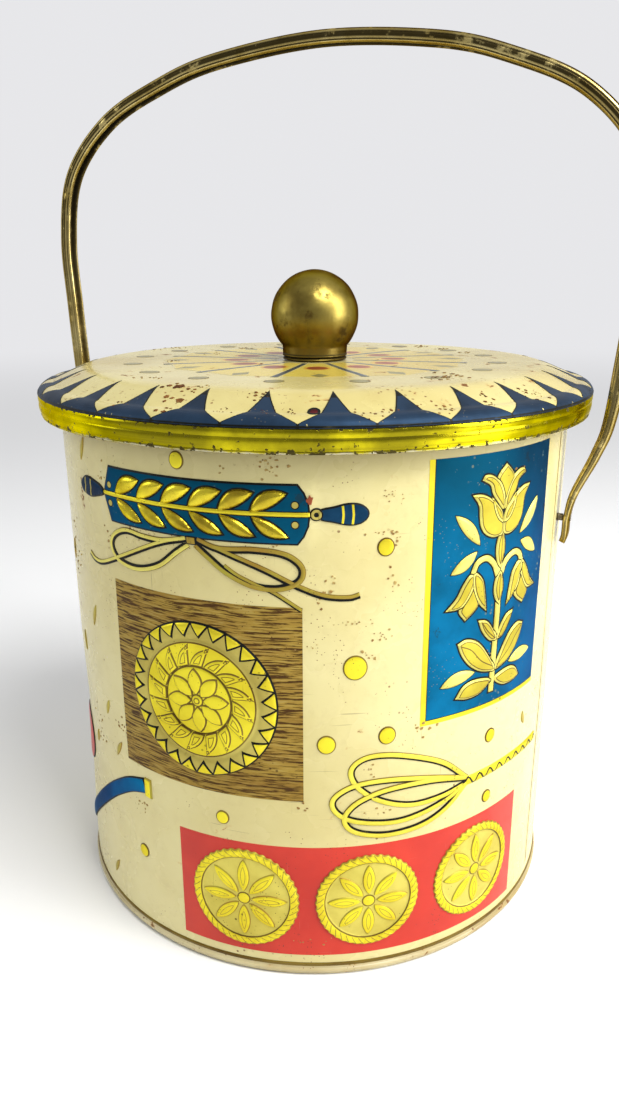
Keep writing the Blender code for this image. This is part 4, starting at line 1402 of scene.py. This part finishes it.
def tulip_panel(tag, angle):
    """The tall blue panel with a gold edge on two sides and an embossed tulip plant."""
    place = on_wall(angle, 120.0)
    blue = box_outline(-22.6, 24.4, -37.2, 37.8)
    whole = box_outline(-24.5, 24.4, -38.8, 37.8)
    print_piece("tulip_panel_" + tag, place, [[whole]],
                [(None, "gold"), ([inset(blue, -0.25)], "ink"), ([blue], "blue")],
                level(0.07), 1.7)
    stem = stroke(smooth_path([(0.9, 15.0), (1.2, 3.0), (1.5, -8.0), (1.2, -20.0), (0.8, -34.0)]), 2.0)
    arches = [stroke(smooth_path([(0.9, 1.5), (-1.1, 5.8), (-4.2, 8.2), (-7.6, 7.4), (-9.1, 4.4)]), 1.7),
              stroke(smooth_path([(1.9, 2.3), (3.9, 6.0), (7.4, 7.7), (10.0, 6.8), (11.3, 4.4)]), 1.7)]
    beads = [leaf((1.0, 15.6), (1.1, 4.4), 3.6, 0.0, 14, 0.7),
             leaf((1.2, 3.6), (1.4, -6.4), 3.8, 0.0, 14, 0.7)]

    def pair(points, x, y, squeeze=1.0):
        """A petal drawn from the plant's axis, and its mirror image."""
        points = array(points + [points[0]])
        left = smooth_path(points, False, 6)[:-1]
        return (left + array((x, y)), left * array((-squeeze, 1.0)) + array((x, y)))
    centre = smooth_path([(0.0, 34.2), (-2.9, 31.6), (-3.6, 29.6), (-2.0, 27.2), (-0.6, 24.4), (0.6, 24.4),
                          (2.0, 27.2), (3.6, 29.6), (2.9, 31.6), (0.0, 34.2)], False, 6)[:-1]
    centre = centre + array((1.4, 0.0))
    inner = pair([(-9.0, 30.6), (-7.9, 31.9), (-5.1, 31.4), (-2.2, 29.0), (-0.3, 24.9), (-0.3, 21.4),
                  (-2.6, 23.6), (-4.9, 26.4), (-6.0, 28.9)], 1.4, 0.0)
    outer = pair([(-12.1, 26.9), (-8.9, 26.7), (-5.6, 25.2), (-3.0, 22.8), (-0.8, 19.8), (0.0, 16.6),
                  (-0.6, 14.4), (-3.4, 13.9), (-6.6, 15.2), (-8.6, 17.6), (-9.3, 20.6), (-9.8, 23.8)],
                 1.4, 0.0, 0.96)
    tear = pair([(-5.0, 25.4), (-3.0, 23.4), (-0.7, 20.8), (-0.1, 17.8), (-2.4, 19.0), (-4.2, 22.0)],
                1.4, 0.0)
    middle_lobe = pair([(-2.0, -13.8), (-4.3, -10.6), (-2.4, -7.4), (-0.2, -4.0), (1.8, -7.0), (2.6, -9.8),
                        (1.0, -11.8)], 1.0, 4.8)
    wide_lobe = pair([(-8.8, -9.8), (-5.4, -6.6), (-3.4, -3.2), (-1.2, -0.6), (0.4, -1.0), (0.2, -4.0),
                      (-1.8, -7.6), (-4.4, -9.8)], 1.0, 4.8)
    slim_lobe = pair([(5.9, -12.4), (5.0, -7.0), (3.9, -2.8), (1.4, -0.3), (0.0, -0.9), (0.3, -4.2),
                      (1.4, -7.4), (3.4, -10.2)], 1.0, 4.8)
    bells = [lobe[side] + array((shift, 0.0)) for side, shift in ((0, -10.1), (1, 10.2))
             for lobe in (middle_lobe, wide_lobe, slim_lobe)]
    upper_leaves = pair([(-7.6, 7.2), (-4.4, 6.4), (-1.8, 3.6), (0.0, 0.2), (-2.6, 0.0), (-5.8, 3.4)],
                        1.6, -17.2, 0.92)
    lower_leaves = pair([(-14.8, 11.2), (-11.4, 12.0), (-7.0, 10.0), (-2.9, 5.2), (0.0, 0.0), (-5.2, 0.6),
                         (-9.8, 3.4), (-13.0, 7.2)], 1.6, -26.9, 0.88)
    foot_leaves = pair([(-14.0, -2.9), (-11.4, 0.4), (-7.0, 1.5), (-0.8, 0.0), (-4.6, -3.2), (-9.6, -3.9)],
                       1.0, -29.8, 0.96)
    loose = [leaf((-7.2, 12.5), (-16.0, 21.9), 3.6, -0.5), leaf((-8.1, 10.8), (-16.7, 5.4), 3.5, 0.4),
             leaf((9.6, 12.9), (18.2, 22.2), 3.5, -0.5), leaf((10.4, 10.5), (18.6, 5.6), 3.6, 0.6),
             leaf((8.4, -26.6), (19.9, -25.6), 3.9, 0.4), leaf((-6.3, -25.8), (-18.4, -28.1), 3.9, -0.6)]
    lined = beads + [centre, *inner, *outer, *tear, *bells, *upper_leaves, *lower_leaves, *foot_leaves]
    shapes = [[inset(shape, -0.5)] for shape in lined] + [[inset(shape, -0.22)] for shape in loose]
    shapes += [[inset(part[0], -0.45)] for part in [stem] + arches]
    paints = [(None, "ink")]
    paints += [(part, "pale") for part in [stem] + arches]
    for shape in lined:
        paints.append(([inset(shape, -0.28)], "ink"))
        paints.append(([shape], "pale"))
        paints.append(([inset(shape, 0.52)], "brown"))
        paints.append(([inset(shape, 0.80)], "petal"))
    paints += [([shape], "pale") for shape in loose]
    veins = [stroke(smooth_path([(0.6, -25.6), (-4.4, -22.6), (-8.4, -18.4), (-12.2, -16.4)]), 0.34),
             stroke(smooth_path([(2.4, -25.6), (7.4, -21.8), (10.2, -18.6), (13.2, -16.2)]), 0.34),
             stroke(smooth_path([(1.0, -17.0), (-2.4, -14.0), (-5.0, -10.6)]), 0.34),
             stroke(smooth_path([(1.1, 5.6), (1.0, 14.4)]), 0.3),
             stroke(smooth_path([(1.3, -5.2), (1.2, 2.6)]), 0.3)]
    paints += [(shape, "brown") for shape in veins]

    def height(points):
        lift = np.full(len(points), 0.13)
        for shape in lined + loose:
            lift = np.maximum(lift, 0.13 + pillow(points, [shape], 0.55, 1.4))
        for part in [stem] + arches:
            lift = np.maximum(lift, 0.13 + pillow(points, part, 0.45, 0.9))
        return lift
    print_piece("tulip_plant_" + tag, place, shapes, paints, height, 0.55)


def whisk(tag, angle):
    """A wire whisk: three gold loops with their shadow lines and a twisted grip."""
    place = on_wall(angle, 60.0)
    loops = (("a", [(21.1, -0.7), (11.5, 7.3), (-1.6, 12.4), (-10.6, 13.2), (-15.0, 10.2), (-13.4, 5.4),
                    (-7.3, 0.5), (2.0, -2.7), (12.0, -2.6), (21.1, -0.9)]),
             ("b", [(21.1, -0.7), (8.3, 2.9), (-4.4, 5.0), (-14.4, 4.4), (-20.0, 0.9), (-19.0, -3.0),
                    (-13.0, -6.0), (-1.0, -7.4), (12.1, -4.8), (21.1, -1.0)]),
             ("c", [(21.1, -0.7), (8.3, 2.0), (-4.4, 2.0), (-13.0, -0.8), (-16.8, -5.3), (-14.2, -9.2),
                    (-5.5, -11.3), (5.5, -10.4), (14.0, -6.9), (21.1, -1.0)]))
    for number, (label, path) in enumerate(loops):
        ribbon("whisk_loop_%s_%s" % (label, tag), place, path, 1.6, "wire", -0.95, 0.5,
               0.12 + 0.07 * number)
    run = np.linspace(0.0, 1.0, 90)
    x = 21.0 + 39.0 * run
    grip = np.stack([x, -1.3 + 0.3 * np.sin(3.0 * run)], axis=1)
    wave = np.stack([x, -1.3 + (1.25 - 0.4 * run) * np.sin(run * 2 * math.pi * 8.5)], axis=1)
    band = stroke(grip, 2.9)
    print_piece("whisk_grip_" + tag, place, [band],
                [(None, "gold"), (stroke(wave, 0.55), "ink")],
                swell(0.15, (band, 0.35, 1.3)), 0.6)


def ladle(tag, angle):
    """A ladle at the left: curved blue grip with a gold collar, and its red bowl further round."""
    place = on_wall(angle, 50.0)
    bowl = disc(-36.0, 0.0, 12.0, 48, 0.82)
    print_piece("ladle_bowl_" + tag, place, [[bowl]], rimmed("red", bowl, 0.5, "ink"),
                swell(0.1, ([bowl], 0.5, 3.0)), 0.9)
    spine = smooth_path([(16.0, 4.0), (7.7, 1.0), (-1.8, -5.0), (-10.0, -11.4), (-18.5, -18.5),
                         (-27.5, -26.0), (-36.0, -33.0)])
    grip = stroke(spine, 5.2)
    print_piece("ladle_grip_" + tag, place, [grip],
                [(None, "blue"), (border(grip[0], 0.4), "ink")],
                swell(0.12, (grip, 0.6, 2.4)), 0.7)
    collar = box_outline(15.6, 18.6, 0.2, 6.8)
    print_piece("ladle_collar_" + tag, place, [[collar]],
                rimmed("gold", collar, 0.35, "olive"),
                swell(0.14, ([collar], 0.6, 1.3)), 0.6)


def scattered(tag, turn):
    """Gold dots with dark outlines, and small leaf-shaped flakes, strewn between the motifs."""
    dots = ((-2.5, 157.3, 2.3), (36.3, 135.5, 2.4), (30.9, 101.7, 3.4), (25.5, 78.6, 2.7), (37.4, 80.3, 2.6),
            (4.3, 52.3, 2.1), (-17.4, 29.5, 2.2), (62.7, 71.1, 2.2), (62.8, 50.1, 2.0))
    for number, (angle, height, radius) in enumerate(dots):
        shape = disc(0.0, 0.0, radius, 30, 1.08)
        print_piece("dot_%s_%d" % (tag, number), on_wall(angle + turn, height), [[shape]],
                    rimmed("gold", shape, 0.36, "brown"),
                    swell(0.08, ([shape], 0.35, radius * 0.7)), 0.7)
    flakes = ((-31.6, 103.2, 8.0, 70.0), (-28.5, 73.7, 6.0, 70.0), (-24.5, 61.5, 7.0, 60.0),
              (-37.6, 57.6, 5.0, 80.0), (-31.1, 155.2, 8.0, 68.0), (-30.1, 13.6, 7.0, 62.0),
              (75.6, 70.0, 5.0, 105.0), (-44.0, 120.0, 7.0, 85.0), (-41.0, 90.0, 7.0, 95.0))
    for number, (angle, height, length, tilt) in enumerate(flakes):
        tip = polar(length / 2, tilt)
        shape = leaf((-tip[0], -tip[1]), tip, 1.9, 0.3)
        print_piece("flake_%s_%d" % (tag, number), on_wall(angle + turn, height), [[shape]],
                    rimmed("dull", shape, 0.2, "olive"),
                    swell(0.06, ([shape], 0.3, 0.9)), 0.7)


def lid_teeth():
    """The ring of blue points on the shoulder of the lid, each with a dark outline."""
    stations = ((74.4, 0.0), (76.0, 0.05), (78.0, 0.125), (80.0, 0.205), (82.0, 0.29), (84.5, 0.40),
                (85.5, 0.475), (86.5, 0.577), (87.4, 0.70), (88.1, 0.83), (88.6, 0.95), (88.8, 1.0),
                (89.22, 1.0))
    pitch = math.radians(360.0 / TEETH)

    def outline(middle, trim):
        left = []
        right = []
        for radius, share in stations:
            half = max(share * pitch / 2 - trim / radius, 0.0)
            for side, store in ((-1, left), (1, right)):
                angle = middle + side * half
                store.append((radius * math.sin(angle), -radius * math.cos(angle)))
        reach, share = stations[-1]
        half = share * pitch / 2 - trim / reach
        base = [(reach * math.sin(middle + half * k / 6), -reach * math.cos(middle + half * k / 6))
                for k in range(-5, 6)]
        return array(left + base + right[::-1])
    for number in range(TEETH):
        middle = math.radians(TOOTH_PHASE) + number * pitch
        full = outline(middle, 0.0)[:-1]
        tip = array([stations[0][0] * math.sin(middle), -stations[0][0] * math.cos(middle)])
        core = outline(middle, 0.36)
        core = array([point for point in core if np.hypot(*(point - tip)) > 2.6])
        print_piece("tooth_%02d" % number, on_lid, [[full]],
                    [(None, "ink"), ([core], "tooth")],
                    level(0.10), 0.7, 0.05)


def plateau_print():
    """The faded print on top of the lid: rays, wedges, ovals and small lozenges."""
    wedges = 12

    def spun(points, degrees):
        turn = math.radians(degrees)
        points = array(points)
        return np.stack([points[:, 0] * math.cos(turn) - points[:, 1] * math.sin(turn),
                         points[:, 0] * math.sin(turn) + points[:, 1] * math.cos(turn)], axis=1)
    for number in range(wedges):
        middle = 360.0 * number / wedges + 25.0
        half = math.pi / wedges
        wedge = array([(13.0 * math.sin(-half) + 0.8, -13.0 * math.cos(half)), (0.0, -13.4),
                       (13.0 * math.sin(half) - 0.8, -13.0 * math.cos(half)),
                       (48.0 * math.sin(half) - 1.0, -48.0 * math.cos(half)), (0.0, -50.0),
                       (48.0 * math.sin(-half) + 1.0, -48.0 * math.cos(half))])
        oval = disc(0.0, -26.0, 3.3, 28, 1.2)
        lozenge = array([(0.0, -40.5), (2.6, -45.5), (0.0, -50.0), (-2.6, -45.5)])
        print_piece("wedge_%02d" % number, on_lid, [[spun(wedge, middle)]],
                    [(None, "wedge"), (border(spun(wedge, middle), 0.35), "lid"),
                     ([spun(disc(0.0, -26.0, 4.2, 28, 1.2), middle)], "amber"),
                     ([spun(oval, middle)], "russet"), ([spun(lozenge, middle)], "moss")],
                    level(0.05), 1.6)
        ray = array([(-0.75, -13.5), (0.75, -13.5), (1.05, -50.0), (-1.05, -50.0)])
        print_piece("ray_%02d" % number, on_lid, [[spun(ray, middle + 15.0)]],
                    [(None, "slate")], level(0.06), 2.0)
    for number in range(16):
        middle = 22.5 * number + 12.7
        shape = spun(disc(0.0, -59.4, 2.9, 26, 1.05), middle)
        print_piece("oval_%02d" % number, on_lid, [[shape]],
                    rimmed("moss", shape, 0.3, "brown"),
                    level(0.05), 1.4)


def ragged(x, y, size, tall=1.0):
    """An uneven blot."""
    turn = np.linspace(0.0, 2 * math.pi, 13, endpoint=False)
    reach = array([size * random.uniform(0.55, 1.15) for _ in turn])
    return np.stack([x + reach * np.cos(turn), y + reach * tall * np.sin(turn)], axis=1)


def rust_cluster(name, place, spread, count, size, centre=(0.0, 0.0)):
    """A cluster of small blots where the lacquer has flaked."""
    shapes = []
    spots = []
    tries = 0
    while len(shapes) < count and tries < 12 * count:
        tries += 1
        x = centre[0] + random.gauss(0.0, 0.6) * spread[0]
        y = centre[1] + random.gauss(0.0, 0.6) * spread[1]
        reach = size * random.uniform(0.35, 1.1)
        if all(math.hypot(x - a, y - b) > 1.25 * (reach + c) for a, b, c in spots):
            spots.append((x, y, reach))
            shapes.append([ragged(x, y, reach, random.uniform(0.6, 1.0))])
    print_piece(name, place, shapes, [(None, "rust" if place is on_lid else "stain")], level(0.13), 0.9)


def rust_marks():
    """Rust where it shows on this tin, and more of the same round the back."""
    random.seed(23)
    wall = [(22.5, 157.2, 3.4, 2.2, 15, 0.5), (9.7, 155.7, 1.6, 1.0, 3, 0.35),
            (50.0, 139.8, 3.4, 0.7, 7, 0.5), (55.0, 137.0, 2.6, 2.4, 9, 0.45),
            (55.2, 126.2, 1.8, 3.0, 7, 0.5), (38.1, 126.9, 1.0, 1.2, 4, 0.6),
            (36.6, 123.6, 2.2, 0.6, 4, 0.7), (34.7, 120.2, 0.5, 1.6, 3, 0.45),
            (54.4, 149.0, 4.6, 1.9, 13, 0.28), (23.1, 136.3, 0.8, 0.4, 2, 0.5),
            (44.3, 114.8, 6.5, 0.9, 11, 0.32), (51.4, 110.6, 2.8, 1.4, 10, 0.45),
            (47.6, 106.2, 1.6, 1.4, 6, 0.5), (31.0, 108.3, 3.6, 0.8, 6, 0.28),
            (64.9, 80.0, 2.4, 2.0, 8, 0.6), (49.5, 69.4, 1.4, 2.2, 5, 0.45),
            (52.1, 55.6, 3.4, 2.6, 9, 0.38), (30.7, 58.3, 1.2, 1.0, 4, 0.55),
            (-34.0, 148.5, 4.5, 2.4, 9, 0.5), (-31.6, 130.6, 2.2, 2.8, 7, 0.45),
            (-58.0, 120.0, 4.0, 9.0, 15, 0.5), (-50.0, 66.0, 4.0, 8.0, 12, 0.5),
            (-24.0, 46.5, 3.0, 2.0, 7, 0.45), (-33.0, 70.5, 1.2, 3.0, 5, 0.5),
            (92.0, 150.0, 3.5, 3.0, 9, 0.45), (88.0, 96.0, 1.6, 8.0, 9, 0.4),
            (30.5, 12.0, 8.0, 1.4, 9, 0.4)]
    for _ in range(14):
        wall.append((random.uniform(125.0, 360.0), random.uniform(20.0, 158.0), random.uniform(2.0, 6.0),
                     random.uniform(1.0, 5.0), random.randint(5, 12), random.uniform(0.3, 0.6)))
    for number, (along, height, wide, tall, count, size) in enumerate(wall):
        place = on_wall(math.degrees(along / BODY_RADIUS), height)
        rust_cluster("rust_wall_%02d" % number, place, (wide, tall), count, size)
    lid = [(-6.0, 74.6, 2.2, 6, 1.7), (-4.2, 80.8, 2.0, 6, 1.5), (-2.2, 86.2, 1.6, 4, 0.9),
           (-1.6, 76.6, 1.6, 4, 0.6), (-0.4, 73.4, 1.6, 6, 0.5), (13.0, 77.0, 2.0, 9, 0.55),
           (-13.5, 85.0, 1.8, 6, 0.45), (8.0, 85.0, 2.4, 8, 0.3), (14.6, 85.0, 2.4, 8, 0.32),
           (20.0, 84.8, 2.4, 7, 0.3), (31.5, 84.8, 2.6, 8, 0.42), (35.8, 84.6, 1.6, 6, 0.55),
           (46.0, 84.4, 1.4, 5, 0.5), (56.0, 83.6, 3.2, 10, 0.5), (69.0, 82.6, 3.4, 10, 0.5),
           (65.0, 60.0, 5.0, 14, 0.8), (57.0, 62.0, 3.0, 8, 0.7), (-20.0, 66.0, 4.0, 8, 0.6)]
    for _ in range(12):
        lid.append((random.uniform(95.0, 330.0), random.uniform(30.0, 85.0), random.uniform(1.5, 4.0),
                    random.randint(5, 10), random.uniform(0.35, 0.8)))
    for number, (angle, radius, spread, count, size) in enumerate(lid):
        turn = math.radians(angle)
        centre = (radius * math.sin(turn), -radius * math.cos(turn))
        rust_cluster("rust_lid_%02d" % number, on_lid, (spread, spread), count, size, centre)
    turn = math.radians(23.2)
    blot = disc(84.0 * math.sin(turn), -84.0 * math.cos(turn), 1.6, 28, 1.1)
    print_piece("rust_blot", on_lid, [[blot]], [(None, "ink"), ([inset(blot, 0.7)], "maroon")],
                level(0.14), 0.6)
    fleck = ragged(0.0, 0.0, 0.95, 1.5)
    print_piece("red_fleck", on_wall(22.4, 148.6), [[fleck]], [(None, "russet")], level(0.3), 0.6)


# ---------------------------------------------------------------- everything together

def main():
    aim_camera()
    set_stage()
    make_materials()
    build_wall()
    build_foot()
    build_seam()
    build_lid()
    build_rim()
    build_knob()
    build_handle()
    build_rivets()
    coat_small_nodes()
    for tag, turn in (("front", 0.0), ("back", 180.0)):
        rolling_pin(tag, turn)
        bow(tag, turn)
        wood_panel(tag, turn)
        medallion(tag, turn)
        red_band(tag, turn + 33.9)
        tulip_panel(tag, turn + 61.3)
        whisk(tag, turn + 41.4)
        ladle(tag, turn - 26.6)
        scattered(tag, turn)
    lid_teeth()
    plateau_print()
    rust_marks()


main()
